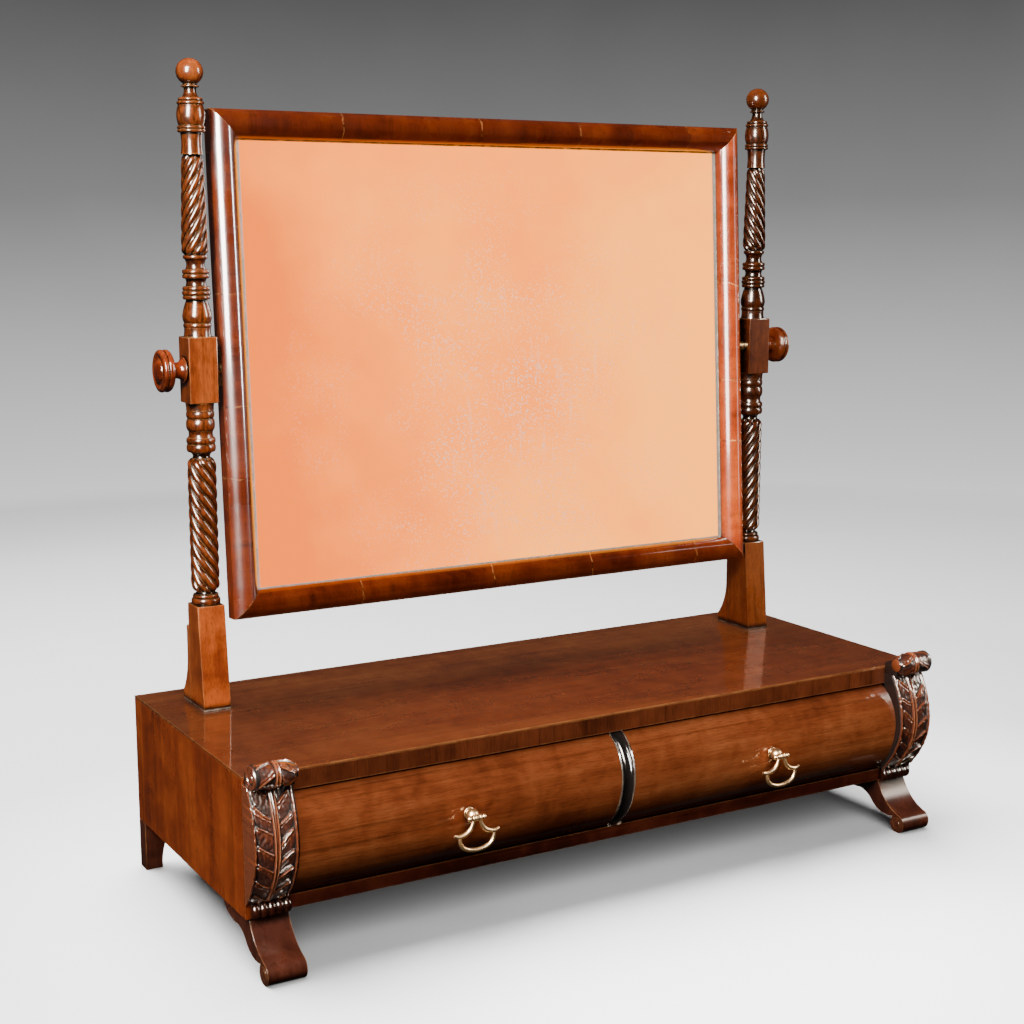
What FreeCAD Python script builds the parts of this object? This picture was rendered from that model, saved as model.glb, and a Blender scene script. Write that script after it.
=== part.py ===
import FreeCAD, Part
import math
import os
from FreeCAD import Vector

# A dressing mirror that tilts between two spiral-turned posts, on a box base with two bow-fronted
# drawers. Sizes are in millimetres, +Z is up, the drawers face -Y, and the origin is on the floor
# under the middle of the base.

# Base case
case_width = 700.0
case_depth = 266.0
case_height = 162.0
leg_height = 45.0
side_thickness = 14.0
back_thickness = 8.0
bottom_thickness = 11.7
fascia_height = 17.4
veneer_thickness = 1.2
rebate_lip = 4.0
rail_depth = 14.0
rail_setback = 4.0
partition_thickness = 12.0
guide_height = 28.0
cut_overrun = 5.0
bulge_rise_share = 0.53

# Carved pilasters, with the scroll above and the reeded roll below
pilaster_width = 38.0
pilaster_reach = 26.0
pilaster_top_reach = 11.0
pilaster_foot_reach = 2.5
pilaster_waist_share = 0.52
leaf_relief = 3.5
leaf_margin = 2.0
leaf_rib_width = 5.0
scroll_radius = 11.0
scroll_reach = 16.0
scroll_rise = 3.5
scroll_overhang = 1.0
scroll_root = 10.0
roll_radius = 6.5
roll_beads = 5
roll_groove_share = 0.8

# Centre moulding between the drawers
moulding_width = 14.0
moulding_reach = 26.0
moulding_round_share = 0.3

# Feet
toe_reach = 33.5
toe_radius = 9.0
toe_flat_share = 0.04
foot_width = 33.4
foot_inset = 4.4
foot_bracket_depth = 62.0
foot_front_shares = ((0.20, 0.72), (0.60, 0.455), (0.787, 0.39))
foot_under_shares = ((0.70, 0.315), (0.563, 0.45), (0.50, 0.58), (0.368, 0.68), (0.139, 0.74))
back_foot_size = 16.0
back_foot_spread = 31.0
back_foot_curve_share = 0.35

# Drawers and their handles
drawer_gap = 0.5
drawer_lift = 0.3
drawer_bulge = 24.5
drawer_setback = 6.0
drawer_front_depth = 14.0
lining_thickness = 7.0
lining_headroom = 6.6
drawer_back_space = 12.0
tray_thickness = 5.0
tray_rise = 5.3
stop_height = 4.2
stop_length = 24.0
stop_depth = 12.0
stop_gap = 0.3
stop_place_share = 0.6
handle_drop = 2.6
ball_radius = 5.5
ball_stand = 6.0
stud_radius = 2.5
stud_collar_radius = 4.0
stud_collar_length = 1.5
nut_radius = 5.0
nut_length = 5.0
pin_stand = 7.2
pin_radius = 1.2
lug_radius = 2.6
lug_half_width = 1.6
pin_head_radius = 2.2
pin_head_edge_share = 0.6
eye_width = 2.4
bail_wire = 1.7
bail_flats = 8
bail_half_span = 21.0
bail_drop = 26.8
bail_horn_drop = 13.0
bail_loop_half_width = 16.0
bail_loop_top = 12.6
bail_eye_drop_share = 0.18
bail_arm_mid_shares = (0.47, 0.80)
swing_clearance = 0.3
running_clearance = 0.05

# Posts: square plinth, spiral columns, pivot block and ball finial, from the base up
post_inset = 48.8
post_from_back = 61.8
block_size = 25.8
plinth_width = 25.2
plinth_height = 92.3
plinth_batter = 8.7
base_ring_height = 11.7
lower_twist_length = 117.9
necking_height = 48.4
block_height = 56.9
collar_height = 69.1
upper_twist_length = 83.9
finial_height = 79.1
ball_finial_radius = 11.55
twist_lead = 98.0
twist_strands = 8
twist_steps_per_turn = 18
twist_lobe_shares = ((0.0, 0.83), (0.28, 0.985), (0.72, 0.985))
lower_twist_shares = (0.965, 0.98)
lower_shoulder = 9.0
lower_end_share = 0.64
upper_twist_shares = (0.925, 0.73)
upper_shoulder = 5.0
upper_end_share = 0.84
bracket_height = 71.0
bracket_reach = 18.7
bracket_step = 5.4
bracket_heel = 9.0
bracket_flare_share = 0.6
post_screw_radius = 2.5
post_screw_head_radius = 5.0
post_screw_head_height = 3.0
post_screw_grip = 40.0

# Turned mouldings, each as its share of the height and its low, middle and high radius shares.
# A ring has two straight flanks, and a curve is one arc through its middle.
base_ring_table_shares = (
    ("ring", 0.57, 0.93, 0.985, 0.93),
    ("ring", 0.28, 0.84, 0.86, 0.74),
    ("ring", 0.15, 0.62, 0.61, 0.62),
)
necking_table_shares = (
    ("curve", 0.118, 0.62, 0.585, 0.74),
    ("ring", 0.155, 0.92, 0.98, 0.92),
    ("ring", 0.101, 0.92, 0.98, 0.92),
    ("curve", 0.124, 0.86, 0.80, 0.86),
    ("curve", 0.223, 0.86, 0.965, 0.86),
    ("ring", 0.137, 0.88, 0.94, 0.88),
    ("ring", 0.142, 0.94, 0.92, 0.97),
)
collar_table_shares = (
    ("ring", 0.112, 0.89, 0.87, 0.89),
    ("ring", 0.053, 0.87, 0.93, 0.87),
    ("curve", 0.095, 0.88, 0.955, 0.97),
    ("curve", 0.197, 0.97, 0.87, 0.68),
    ("ring", 0.052, 0.85, 0.91, 0.85),
    ("ring", 0.055, 0.87, 0.94, 0.87),
    ("ring", 0.052, 0.84, 0.90, 0.84),
    ("curve", 0.098, 0.69, 0.64, 0.69),
    ("ring", 0.055, 0.84, 0.89, 0.84),
    ("ring", 0.055, 0.84, 0.89, 0.84),
    ("curve", 0.130, 0.67, 0.60, 0.72),
    ("ring", 0.046, 0.76, 0.815, 0.76),
)
finial_table_shares = (
    ("ring", 0.229, 0.70, 0.66, 0.71),
    ("ring", 0.034, 0.82, 0.905, 0.82),
    ("ring", 0.033, 0.82, 0.905, 0.82),
    ("curve", 0.219, 0.82, 0.92, 0.81),
    ("ring", 0.037, 0.82, 0.885, 0.82),
    ("ring", 0.035, 0.72, 0.80, 0.70),
    ("curve", 0.109, 0.58, 0.41, 0.42),
    ("ring", 0.021, 0.54, 0.59, 0.54),
)

# Pivot knobs and screws
knob_radius = 18.3
knob_length = 25.5
knob_gap = 0.3
knob_profile_shares = (
    (0.0, 0.60), (0.06, 0.60), (0.17, 0.50), (0.31, 0.39), (0.43, 0.42), (0.53, 0.86), (0.57, 1.0),
    (0.69, 1.0), (0.72, 0.91), (0.75, 1.0), (0.86, 1.0), (0.91, 0.80), (0.85, 0.58), (0.90, 0.46),
    (0.98, 0.24), (1.0, 0.0),
)
pivot_screw_radius = 3.0
pivot_screw_in_knob = 15.0
pivot_screw_in_frame = 12.0
nut_plate_height = 30.0
nut_plate_width = 9.0
nut_plate_thickness = 2.0
nut_boss_radius = 5.0

# Mirror: mitred cushion frame, plate, blocks and backboard
frame_post_gap = 6.2
frame_half_height = 221.0
frame_member = 24.0
frame_front = 12.0
frame_back = 9.0
frame_side_front = 5.0
frame_sight_front = 3.0
glass_seat = 1.0
glass_thickness = 3.0
glass_gap = 0.5
rebate_width = 8.0
backboard_thickness = 6.0
backboard_margin = 6.0
backboard_nail_size = 2.4
backboard_nail_head_size = 4.6
backboard_nail_head_height = 1.0
backboard_nail_grip = 5.0
backboard_nail_place_shares = (0.25, 0.75)
glazing_block_length = 25.0
glazing_block_size = 4.5
glazing_block_place_shares = (-0.6, 0.0, 0.6)
rest_tilt_degrees = 3.45

# Places worked out from the sizes above
overall_depth = case_depth + toe_reach
back_y = overall_depth / 2
front_y = back_y - case_depth
half_width = case_width / 2
side_inner = half_width - side_thickness
pilaster_inner = half_width - pilaster_width
veneer_bottom = case_height - veneer_thickness
fascia_bottom = case_height - fascia_height
floor_top = leg_height + bottom_thickness
rail_front = case_depth - rail_setback
bulge_z = leg_height + (case_height - leg_height) * bulge_rise_share
moulding_edge = moulding_width / 2
post_x = half_width - post_inset
post_y = back_y - post_from_back
turning_radius = block_size / 2
frame_half_width = post_x - turning_radius - frame_post_gap
block_bottom = case_height + plinth_height + base_ring_height + lower_twist_length + necking_height
pivot_z = block_bottom + block_height / 2
drawer_middle = (pilaster_inner + moulding_edge) / 2
drawer_half_width = (pilaster_inner - moulding_edge) / 2 - drawer_gap
drawer_front_inner = case_depth - drawer_setback - drawer_front_depth
drawer_low = floor_top + drawer_lift
drawer_back_forward = back_thickness + drawer_back_space
handle_surface = case_depth - drawer_setback + drawer_bulge
pin_forward = handle_surface + ball_stand + pin_stand
pin_z = bulge_z - handle_drop
eye_inner = lug_half_width + swing_clearance
eye_outer = eye_inner + eye_width
pin_head_inner = eye_outer + swing_clearance


def side_point(forward, up):
    """A point in the middle plane, forward of the back of the case and above the floor."""
    return Vector(0, back_y - forward, up)


def block(x0, x1, forward0, forward1, z0, z1):
    """A board between two widths, two distances forward of the case's back and two heights."""
    corner = Vector(x0, back_y - forward1, z0)
    return Part.makeBox(x1 - x0, forward1 - forward0, z1 - z0, corner)


def outline(to_space, start, *steps):
    """A closed wire: a line to each single point, and an arc through and to each pair of points."""
    edges = []
    here = start
    for step in steps:
        if isinstance(step[0], tuple):
            through, end = step
            edges.append(Part.Arc(to_space(*here), to_space(*through), to_space(*end)).toShape())
        else:
            end = step
            if end != here:
                edges.append(Part.LineSegment(to_space(*here), to_space(*end)).toShape())
        here = end
    if here != start:
        edges.append(Part.LineSegment(to_space(*here), to_space(*start)).toShape())
    return Part.Wire(edges)


def across(wire, x0, x1):
    """A side outline given its width, from x0 to x1."""
    face = Part.Face(wire)
    face.translate(Vector(x0, 0, 0))
    return face.extrude(Vector(x1 - x0, 0, 0))


def rod(radius, length, start, direction):
    """A round bar from a start point along a direction."""
    return Part.makeCylinder(radius, length, start, direction)


def mirrored(shape):
    """The same piece on the other side of the middle plane."""
    return shape.mirror(Vector(0, 0, 0), Vector(1, 0, 0))


def bulge_arcs(front, reach, low, high):
    """The bowed front's two arcs, which meet upright at the fullest height, from the top down."""
    arcs = []
    for rise in (high - bulge_z, low - bulge_z):
        radius = (rise ** 2 + reach ** 2) / (2 * reach)
        turn = math.asin(rise / radius) / 2
        middle = (front + reach - radius + radius * math.cos(turn), bulge_z + radius * math.sin(turn))
        arcs.append(middle)
    fullest = (front + reach, bulge_z)
    return (arcs[0], fullest), (arcs[1], (front, low))


def post_screw(grown):
    """The countersunk screw that comes up through the top into a post, grown for its hole."""
    shank = post_screw_radius + grown
    length = fascia_height + post_screw_grip
    start = Vector(-post_x, post_y, fascia_bottom)
    up = Vector(0, 0, 1)
    head = Part.makeCone(post_screw_head_radius + grown, shank, post_screw_head_height, start, up)
    return head.fuse(rod(shank, length, start, up))


def both_post_screws(grown):
    one = post_screw(grown)
    return [one, mirrored(one)]


def top_board():
    edge = half_width - rebate_lip
    board = block(-edge, edge, 0, case_depth - veneer_thickness, fascia_bottom, veneer_bottom)
    return board.cut(both_post_screws(running_clearance))


def top_veneer():
    sheet = block(-half_width, half_width, 0, case_depth, veneer_bottom, case_height)
    return sheet.cut(both_post_screws(running_clearance))


def fascia_banding():
    edge = half_width - rebate_lip
    return block(-edge, edge, case_depth - veneer_thickness, case_depth, fascia_bottom, veneer_bottom)


def side_panel():
    panel = block(-half_width, -side_inner, 0, case_depth, leg_height, veneer_bottom)
    rebate = block(rebate_lip - half_width, cut_overrun - side_inner, -cut_overrun, case_depth + cut_overrun,
                   fascia_bottom, case_height)
    return panel.cut(rebate)


def back_board():
    return block(-side_inner, side_inner, 0, back_thickness, leg_height, fascia_bottom)


def bottom_board():
    return block(-side_inner, side_inner, back_thickness, rail_front - rail_depth, leg_height, floor_top)


def bottom_front_rail():
    return block(-side_inner, side_inner, rail_front - rail_depth, rail_front, leg_height, floor_top)


def centre_partition():
    half = partition_thickness / 2
    return block(-half, half, back_thickness, rail_front, floor_top, fascia_bottom)


def centre_moulding():
    """An ebonised half-round bead bent over the bow of the drawers, with its front edges eased."""
    arcs = bulge_arcs(rail_front, moulding_reach, floor_top, fascia_bottom)
    wire = outline(side_point, (rail_front, floor_top), (rail_front, fascia_bottom), *arcs)
    bead = across(wire, -moulding_edge, moulding_edge)
    front_edges = [edge for edge in bead.Edges if edge.Curve.TypeId == "Part::GeomCircle"]
    return bead.makeChamfer(moulding_width * moulding_round_share, front_edges)


def drawer_guides():
    one = block(-side_inner, -pilaster_inner, back_thickness, rail_front, floor_top, floor_top + guide_height)
    return Part.makeCompound([one, mirrored(one)])


def pilaster_arcs(foot_reach, top_reach, reach):
    """The pilaster's front outline from its top down: full bow, then a drawn-in ogee to its foot."""
    low = leg_height + 2 * roll_radius
    high = case_height - scroll_root + scroll_rise
    full = (case_depth + reach, bulge_z)
    top = (case_depth + top_reach, high)
    foot = (case_depth + foot_reach, low)
    drop = bulge_z - low
    radius = ((high - bulge_z) ** 2 + (reach - top_reach) ** 2) / (2 * (reach - top_reach))
    turn = math.asin((high - bulge_z) / radius) / 2
    upper = (full[0] - radius * (1 - math.cos(turn)), bulge_z + radius * math.sin(turn))
    waist_z = low + drop * (1 - pilaster_waist_share)
    waist = (case_depth + foot_reach + (reach - foot_reach) * (1 - pilaster_waist_share ** 2), waist_z)
    belly = (full[0] - (full[0] - waist[0]) / 4, (bulge_z + waist_z) / 2)
    return top, ((upper, full), (belly, waist), foot)


def pilaster():
    """A bowed block with a raised leaf and midrib; the leaf's veins are cut into it later."""
    ground = -leaf_relief
    top, arcs = pilaster_arcs(pilaster_foot_reach, pilaster_top_reach + ground, pilaster_reach + ground)
    low = leg_height + 2 * roll_radius
    wire = outline(side_point, (case_depth, low), (case_depth, top[1]), top, *arcs)
    body = across(wire, -half_width, -pilaster_inner)
    layers = ((leaf_margin, 1 / 2), (pilaster_width / 2 - leaf_rib_width / 2, 0))
    for inset, drop in layers:
        lower = -leaf_relief * drop
        top, arcs = pilaster_arcs(pilaster_foot_reach, pilaster_top_reach + lower, pilaster_reach + lower)
        wire = outline(side_point, (case_depth, low), (case_depth, top[1]), top, *arcs)
        body = body.fuse(across(wire, inset - half_width, -pilaster_inner - inset))
    return body


def scroll():
    """The leaf's tip, rolled forward over the top of the pilaster."""
    centre = (case_depth + scroll_reach, case_height + scroll_rise)
    root_z = case_height + scroll_rise - scroll_root
    lean = scroll_radius * math.cos(math.pi / 4)
    roof = (centre[0] - scroll_reach / 2 - lean / 2, centre[1] + lean)
    crown = (centre[0], centre[1] + scroll_radius)
    nose = (centre[0] + scroll_radius, centre[1])
    chin = (centre[0], centre[1] - scroll_radius)
    cheek = (centre[0] + lean, centre[1] - lean)
    brow = (centre[0] + lean, centre[1] + lean)
    throat = (case_depth + pilaster_top_reach, centre[1] - scroll_radius / 2)
    wire = outline(side_point, (case_depth, root_z), (case_depth, centre[1]), (roof, crown), (brow, nose),
                   (cheek, chin), throat, (case_depth + pilaster_top_reach, root_z))
    return across(wire, -half_width + scroll_overhang, -pilaster_inner + scroll_overhang)


def reeded_roll():
    """Half a turned roll of beads, glued to the case's front under the pilaster."""
    start = -half_width + foot_inset
    pitch = foot_width / roll_beads
    valley = roll_radius * roll_groove_share
    steps = [(start, valley)]
    for bead in range(roll_beads):
        left = start + pitch * bead
        steps.append(((left + pitch / 2, roll_radius), (left + pitch, valley)))
    steps.append((start + foot_width, 0))
    axis_y = front_y
    axis_z = leg_height + roll_radius
    wire = outline(lambda x, r: Vector(x, axis_y - r, axis_z), (start, 0), *steps)
    turned = Part.Face(wire).revolve(Vector(0, axis_y, axis_z), Vector(1, 0, 0), 360)
    keep = block(-half_width, -pilaster_inner + cut_overrun, case_depth, case_depth + 2 * roll_radius,
                 leg_height, leg_height + 2 * roll_radius)
    return turned.common(keep)


def front_foot():
    """A sabre foot: a bracket under the case that sweeps forward to a rolled toe."""
    heel = rail_front - foot_bracket_depth
    length = overall_depth - heel
    toe_centre = (overall_depth - toe_radius, toe_radius * (1 - toe_flat_share))

    def front_at(shares):
        return (rail_front + (overall_depth - rail_front) * shares[0], leg_height * shares[1])

    def under_at(shares):
        return (heel + length * shares[0], leg_height * shares[1])

    front = [front_at(shares) for shares in foot_front_shares]
    under = [under_at(shares) for shares in foot_under_shares]
    lean = toe_radius * math.cos(math.pi / 4)
    toe_front = (overall_depth, toe_centre[1])
    toe_brow = (toe_centre[0] + lean, toe_centre[1] + lean)
    toe_bottom = (toe_centre[0], toe_centre[1] - toe_radius)
    toe_cheek = (toe_centre[0] + lean, toe_centre[1] - lean)
    toe_back = (toe_centre[0] - lean, toe_centre[1] + lean)
    toe_heel = (toe_centre[0] - toe_radius, toe_centre[1])
    wire = outline(side_point, (heel, leg_height), (rail_front, leg_height), (front[0], front[1]), front[2],
                   (toe_brow, toe_front), (toe_cheek, toe_bottom), (toe_heel, toe_back),
                   (under[0], under[1]), (under[2], under[3]), (under[4], (heel, leg_height)))
    foot = across(wire, foot_inset - half_width, foot_inset + foot_width - half_width)
    return foot.common(block(-half_width, 0, 0, overall_depth, 0, leg_height))


def back_foot():
    """A small bracket foot whose inner side sweeps in from the case's bottom."""
    outer = -half_width
    inner = outer + back_foot_size
    spread = back_foot_spread - back_foot_size
    middle = (inner + spread * back_foot_curve_share, leg_height * (1 - back_foot_curve_share))
    wire = outline(lambda x, z: Vector(x, back_y - back_foot_size, z), (outer, 0), (inner, 0),
                   (middle, (outer + back_foot_spread, leg_height)), (outer, leg_height))
    return Part.Face(wire).extrude(Vector(0, back_foot_size, 0))


def drawer_stops():
    """Blocks on the case's floor that meet the inside of each drawer front."""
    forward = drawer_front_inner - stop_gap
    stops = []
    for place in (-stop_place_share, stop_place_share):
        middle = drawer_middle + drawer_half_width * place
        stop = block(middle - stop_length / 2, middle + stop_length / 2, forward - stop_depth, forward,
                     floor_top, floor_top + stop_height)
        stops.append(stop)
        stops.append(mirrored(stop))
    return Part.makeCompound(stops)


def turned(table, height, bottom):
    """A turned stretch of post on the Z axis, made from a table of mouldings."""
    steps = []
    level = bottom
    for kind, length, low, middle, high in table:
        low_point = (low * turning_radius, level)
        middle_point = (middle * turning_radius, level + length * height / 2)
        level = level + length * height
        high_point = (high * turning_radius, level)
        steps.append(low_point)
        if kind == "curve":
            steps.append((middle_point, high_point))
        else:
            steps.append(middle_point)
            steps.append(high_point)
    steps.append((0, level))
    return lathe((0, bottom), steps)


def lathe(start, steps):
    """A turned solid about the Z axis from its half outline."""
    wire = outline(lambda r, z: Vector(r, 0, z), start, *steps)
    return Part.Face(wire).revolve(Vector(0, 0, 0), Vector(0, 0, 1), 360)


def ball_finial(bottom):
    """The ball that ends a post, on the thin neck under it."""
    top = bottom + 2 * ball_finial_radius
    centre = top - ball_finial_radius
    neck = ball_finial_radius * math.sin(math.pi / 8)
    low = centre - ball_finial_radius * math.cos(math.pi / 8)
    steps = ((neck, bottom), (neck, low), ((ball_finial_radius, centre), (0, top)))
    return lathe((0, bottom), steps)


def twist_ring(level, radius, turn):
    """One lobed cross-section of a spiral column."""
    lobe = 2 * math.pi / twist_strands
    points = []
    for strand in range(twist_strands):
        for along, share in twist_lobe_shares:
            angle = turn + (strand + along) * lobe
            points.append(Vector(radius * share * math.cos(angle), radius * share * math.sin(angle), level))
    return points


def twist(bottom, length, radius_shares, shoulder, end_share, hand):
    """A spiral column of rounded strands with rounded shoulders, right-handed where hand is 1."""
    steps = max(2, round(length / twist_lead * twist_steps_per_turn))
    heights = {length * step / steps for step in range(steps + 1)}
    heights |= {shoulder / 4, length - shoulder / 4}
    rings = []
    for height in sorted(heights):
        share = height / length
        full = turning_radius * (radius_shares[0] + (radius_shares[1] - radius_shares[0]) * share)
        inward = 1 - min(1, min(height, length - height) / shoulder)
        radius = full * (end_share + (1 - end_share) * math.sqrt(1 - inward ** 2))
        rings.append(twist_ring(bottom + height, radius, hand * 2 * math.pi * height / twist_lead))
    faces = [Part.Face(Part.makePolygon(ring + ring[:1])) for ring in (rings[0], rings[-1])]
    for lower, upper in zip(rings, rings[1:]):
        for here in range(len(lower)):
            after = (here + 1) % len(lower)
            quad = [lower[here], lower[after], upper[after], upper[here]]
            if hand > 0:
                quad = quad[1:] + quad[:1]
            faces.append(Part.Face(Part.makePolygon([quad[0], quad[1], quad[2], quad[0]])))
            faces.append(Part.Face(Part.makePolygon([quad[0], quad[2], quad[3], quad[0]])))
    shell = Part.makeShell(faces)
    shell.sewShape()
    return Part.makeSolid(Part.Shell(shell.Faces))


def plinth():
    """The square foot of a post, with its front face battered forward to the base."""
    back = post_from_back - turning_radius
    front = post_from_back + turning_radius
    top = case_height + plinth_height
    wire = outline(side_point, (back, case_height), (front + plinth_batter, case_height), (front, top),
                   (back, top))
    return across(wire, -plinth_width / 2, plinth_width / 2).translated(Vector(0, -post_y, 0))


def post():
    """One post, from its plinth up, turned about the Z axis and then set in its place."""
    level = case_height + plinth_height
    pieces = [plinth(), turned(base_ring_table_shares, base_ring_height, level)]
    level = level + base_ring_height
    pieces.append(twist(level, lower_twist_length, lower_twist_shares, lower_shoulder, lower_end_share, -1))
    level = level + lower_twist_length
    pieces.append(turned(necking_table_shares, necking_height, level))
    corner = Vector(-turning_radius, -turning_radius, block_bottom)
    pieces.append(Part.makeBox(block_size, block_size, block_height, corner))
    level = block_bottom + block_height
    pieces.append(turned(collar_table_shares, collar_height, level))
    level = level + collar_height
    pieces.append(twist(level, upper_twist_length, upper_twist_shares, upper_shoulder, upper_end_share, 1))
    level = level + upper_twist_length
    pieces.append(turned(finial_table_shares, finial_height, level))
    pieces.append(ball_finial(level + finial_height - 2 * ball_finial_radius))
    whole = pieces[0].fuse(pieces[1:])
    bore = rod(pivot_screw_radius + running_clearance, block_size + 2 * cut_overrun,
               Vector(-turning_radius - cut_overrun, 0, pivot_z), Vector(1, 0, 0))
    whole = whole.cut(bore).translated(Vector(-post_x, post_y, 0))
    return whole.cut(post_screw(running_clearance))


def post_bracket():
    """The shaped knee behind a post's plinth, stepped at its top and flared at its heel."""
    front = post_from_back - turning_radius
    heel = front - bracket_reach
    top = case_height + bracket_height
    flare_top = case_height + bracket_height * bracket_flare_share
    heel_top = case_height + bracket_heel
    bend = (front - bracket_step - (bracket_reach - bracket_step) / 4, (flare_top + heel_top) / 2)
    wire = outline(side_point, (front, case_height), (front, top), (front - bracket_step, top),
                   (front - bracket_step, flare_top), (bend, (heel, heel_top)), (heel, case_height))
    return across(wire, -plinth_width / 2, plinth_width / 2).translated(Vector(-post_x, 0, 0))


def knob():
    """A turned knob with a grooved rim and a dished face, on a flared collar."""
    seat = -post_x - turning_radius - knob_gap
    steps = [(share * knob_radius, along * knob_length) for along, share in knob_profile_shares]
    wire = outline(lambda r, along: Vector(seat - along, post_y + r, pivot_z), (0, 0), *steps)
    body = Part.Face(wire).revolve(Vector(0, post_y, pivot_z), Vector(1, 0, 0), 360)
    return body.cut(pivot_screw(running_clearance))


def pivot_screw(grown):
    """The iron screw from inside the knob, through the post's block, to the frame's nut plate."""
    start = -post_x - turning_radius - knob_gap - pivot_screw_in_knob
    end = -frame_half_width + pivot_screw_in_frame
    return rod(pivot_screw_radius + grown, end - start + grown, Vector(start - grown, post_y, pivot_z),
               Vector(1, 0, 0))


def tilted(shape):
    """A mirror piece leaned back about the pivots and set between the posts."""
    shape = shape.copy()
    shape.rotate(Vector(0, 0, 0), Vector(1, 0, 0), -rest_tilt_degrees)
    shape.translate(Vector(0, post_y, pivot_z))
    return shape


def frame_piece(half_length, half_other, quarter_turns):
    """One mitred frame member, made as the top rail and then turned into its place."""
    sight = half_other - frame_member
    rebate = half_other - frame_member + rebate_width
    crest = (-frame_front, half_other - frame_member / 2)
    wire = outline(lambda y, z: Vector(-half_length, y, z), (frame_back, half_other),
                   (-frame_side_front, half_other), (crest, (-frame_sight_front, sight)),
                   (glass_seat, sight), (glass_seat, rebate), (frame_back, rebate))
    strip = Part.Face(wire).extrude(Vector(2 * half_length, 0, 0))
    inner = half_length - frame_member
    mitre = outline(lambda x, z: Vector(x, -frame_front - cut_overrun, z), (-half_length, half_other),
                    (half_length, half_other), (inner, sight), (-inner, sight))
    depth = frame_front + frame_back + 2 * cut_overrun
    member = strip.common(Part.Face(mitre).extrude(Vector(0, depth, 0)))
    member.rotate(Vector(0, 0, 0), Vector(0, 1, 0), quarter_turns * math.degrees(math.pi / 2))
    return member


def nut_plate_space():
    """The plate let into the outside of a stile."""
    return Part.makeBox(nut_plate_thickness, nut_plate_width, nut_plate_height,
                        Vector(-frame_half_width, -nut_plate_width / 2, -nut_plate_height / 2))


def frame_left_stile():
    stile = frame_piece(frame_half_height, frame_half_width, -1)
    bore = rod(pivot_screw_radius + 2 * running_clearance, pivot_screw_in_frame + nut_plate_thickness,
               Vector(-frame_half_width, 0, 0), Vector(1, 0, 0))
    return stile.cut([nut_plate_space(), bore])


def nut_plate():
    """A brass plate whose boss takes up the space between the frame and the post."""
    length = post_x - turning_radius - frame_half_width - knob_gap
    boss = rod(nut_boss_radius, length, Vector(-frame_half_width, 0, 0), Vector(-1, 0, 0))
    bore = rod(pivot_screw_radius + running_clearance, length + nut_plate_thickness + 2 * cut_overrun,
               Vector(-frame_half_width - length - cut_overrun, 0, 0), Vector(1, 0, 0))
    return nut_plate_space().fuse(boss).cut(bore)


def mirror_glass():
    half_x = frame_half_width - frame_member + rebate_width - glass_gap
    half_z = frame_half_height - frame_member + rebate_width - glass_gap
    return Part.makeBox(2 * half_x, glass_thickness, 2 * half_z, Vector(-half_x, glass_seat, -half_z))


def glazing_blocks():
    """Small blocks glued in the rebate behind the plate, which hold it against the frame."""
    half_x = frame_half_width - frame_member + rebate_width
    half_z = frame_half_height - frame_member + rebate_width
    front = glass_seat + glass_thickness
    depth = frame_back - front
    blocks = []
    for place in glazing_block_place_shares:
        corner = Vector(place * half_x - glazing_block_length / 2, front, half_z - glazing_block_size)
        rail_block = Part.makeBox(glazing_block_length, depth, glazing_block_size, corner)
        blocks.append(rail_block)
        blocks.append(rail_block.mirror(Vector(0, 0, 0), Vector(0, 0, 1)))
        corner = Vector(half_x - glazing_block_size, front, place * half_z - glazing_block_length / 2)
        stile_block = Part.makeBox(glazing_block_size, depth, glazing_block_length, corner)
        blocks.append(stile_block)
        blocks.append(mirrored(stile_block))
    return Part.makeCompound(blocks)


def backboard_nail_list(grown):
    """Square cut nails along the backboard's edges, grown for their holes."""
    edge_x = frame_half_width - (frame_member - rebate_width + backboard_margin) / 2
    edge_z = frame_half_height - (frame_member - rebate_width + backboard_margin) / 2
    places = []
    for share in backboard_nail_place_shares:
        for side in (-1, 1):
            places.append((edge_x * (2 * share - 1), side * edge_z))
            places.append((side * edge_x, edge_z * (2 * share - 1)))
    inside = frame_back - backboard_nail_grip
    outside = frame_back + backboard_thickness
    half = backboard_nail_size / 2 + grown
    half_head = backboard_nail_head_size / 2
    nails = []
    for x, z in places:
        corner = Vector(x - half, inside - grown, z - half)
        nail = Part.makeBox(2 * half, outside - inside + grown, 2 * half, corner)
        head = Part.makeBox(2 * half_head, backboard_nail_head_height, 2 * half_head,
                            Vector(x - half_head, outside, z - half_head))
        nails.append(nail if grown else nail.fuse(head))
    return nails


def mirror_backboard():
    half_x = frame_half_width - backboard_margin
    half_z = frame_half_height - backboard_margin
    corner = Vector(-half_x, frame_back, -half_z)
    board = Part.makeBox(2 * half_x, backboard_thickness, 2 * half_z, corner)
    return board.cut(backboard_nail_list(running_clearance))


def mirror_pieces():
    """Every piece of the swinging mirror, upright about its pivot axis."""
    nail_holes = backboard_nail_list(running_clearance)
    left_stile = frame_left_stile()
    left_plate = nut_plate()
    rail = frame_piece(frame_half_width, frame_half_height, 0)
    return {
        "frame_top_rail": rail.cut(nail_holes),
        "frame_bottom_rail": rail.mirror(Vector(0, 0, 0), Vector(0, 0, 1)).cut(nail_holes),
        "frame_left_stile": left_stile.cut(nail_holes),
        "frame_right_stile": mirrored(left_stile).cut(nail_holes),
        "mirror_glass": mirror_glass(),
        "mirror_backboard": mirror_backboard(),
        "glazing_blocks": glazing_blocks(),
        "backboard_nails": Part.makeCompound(backboard_nail_list(0)),
        "left_nut_plate": left_plate,
        "right_nut_plate": mirrored(left_plate),
    }


def handle_stud(grown):
    """The stud's shank through the drawer front, and its collar outside, grown for the hole."""
    inside = drawer_front_inner - nut_length
    length = handle_surface + ball_stand - inside
    return rod(stud_radius + grown, length, side_point(inside, pin_z), Vector(0, -1, 0))


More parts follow.
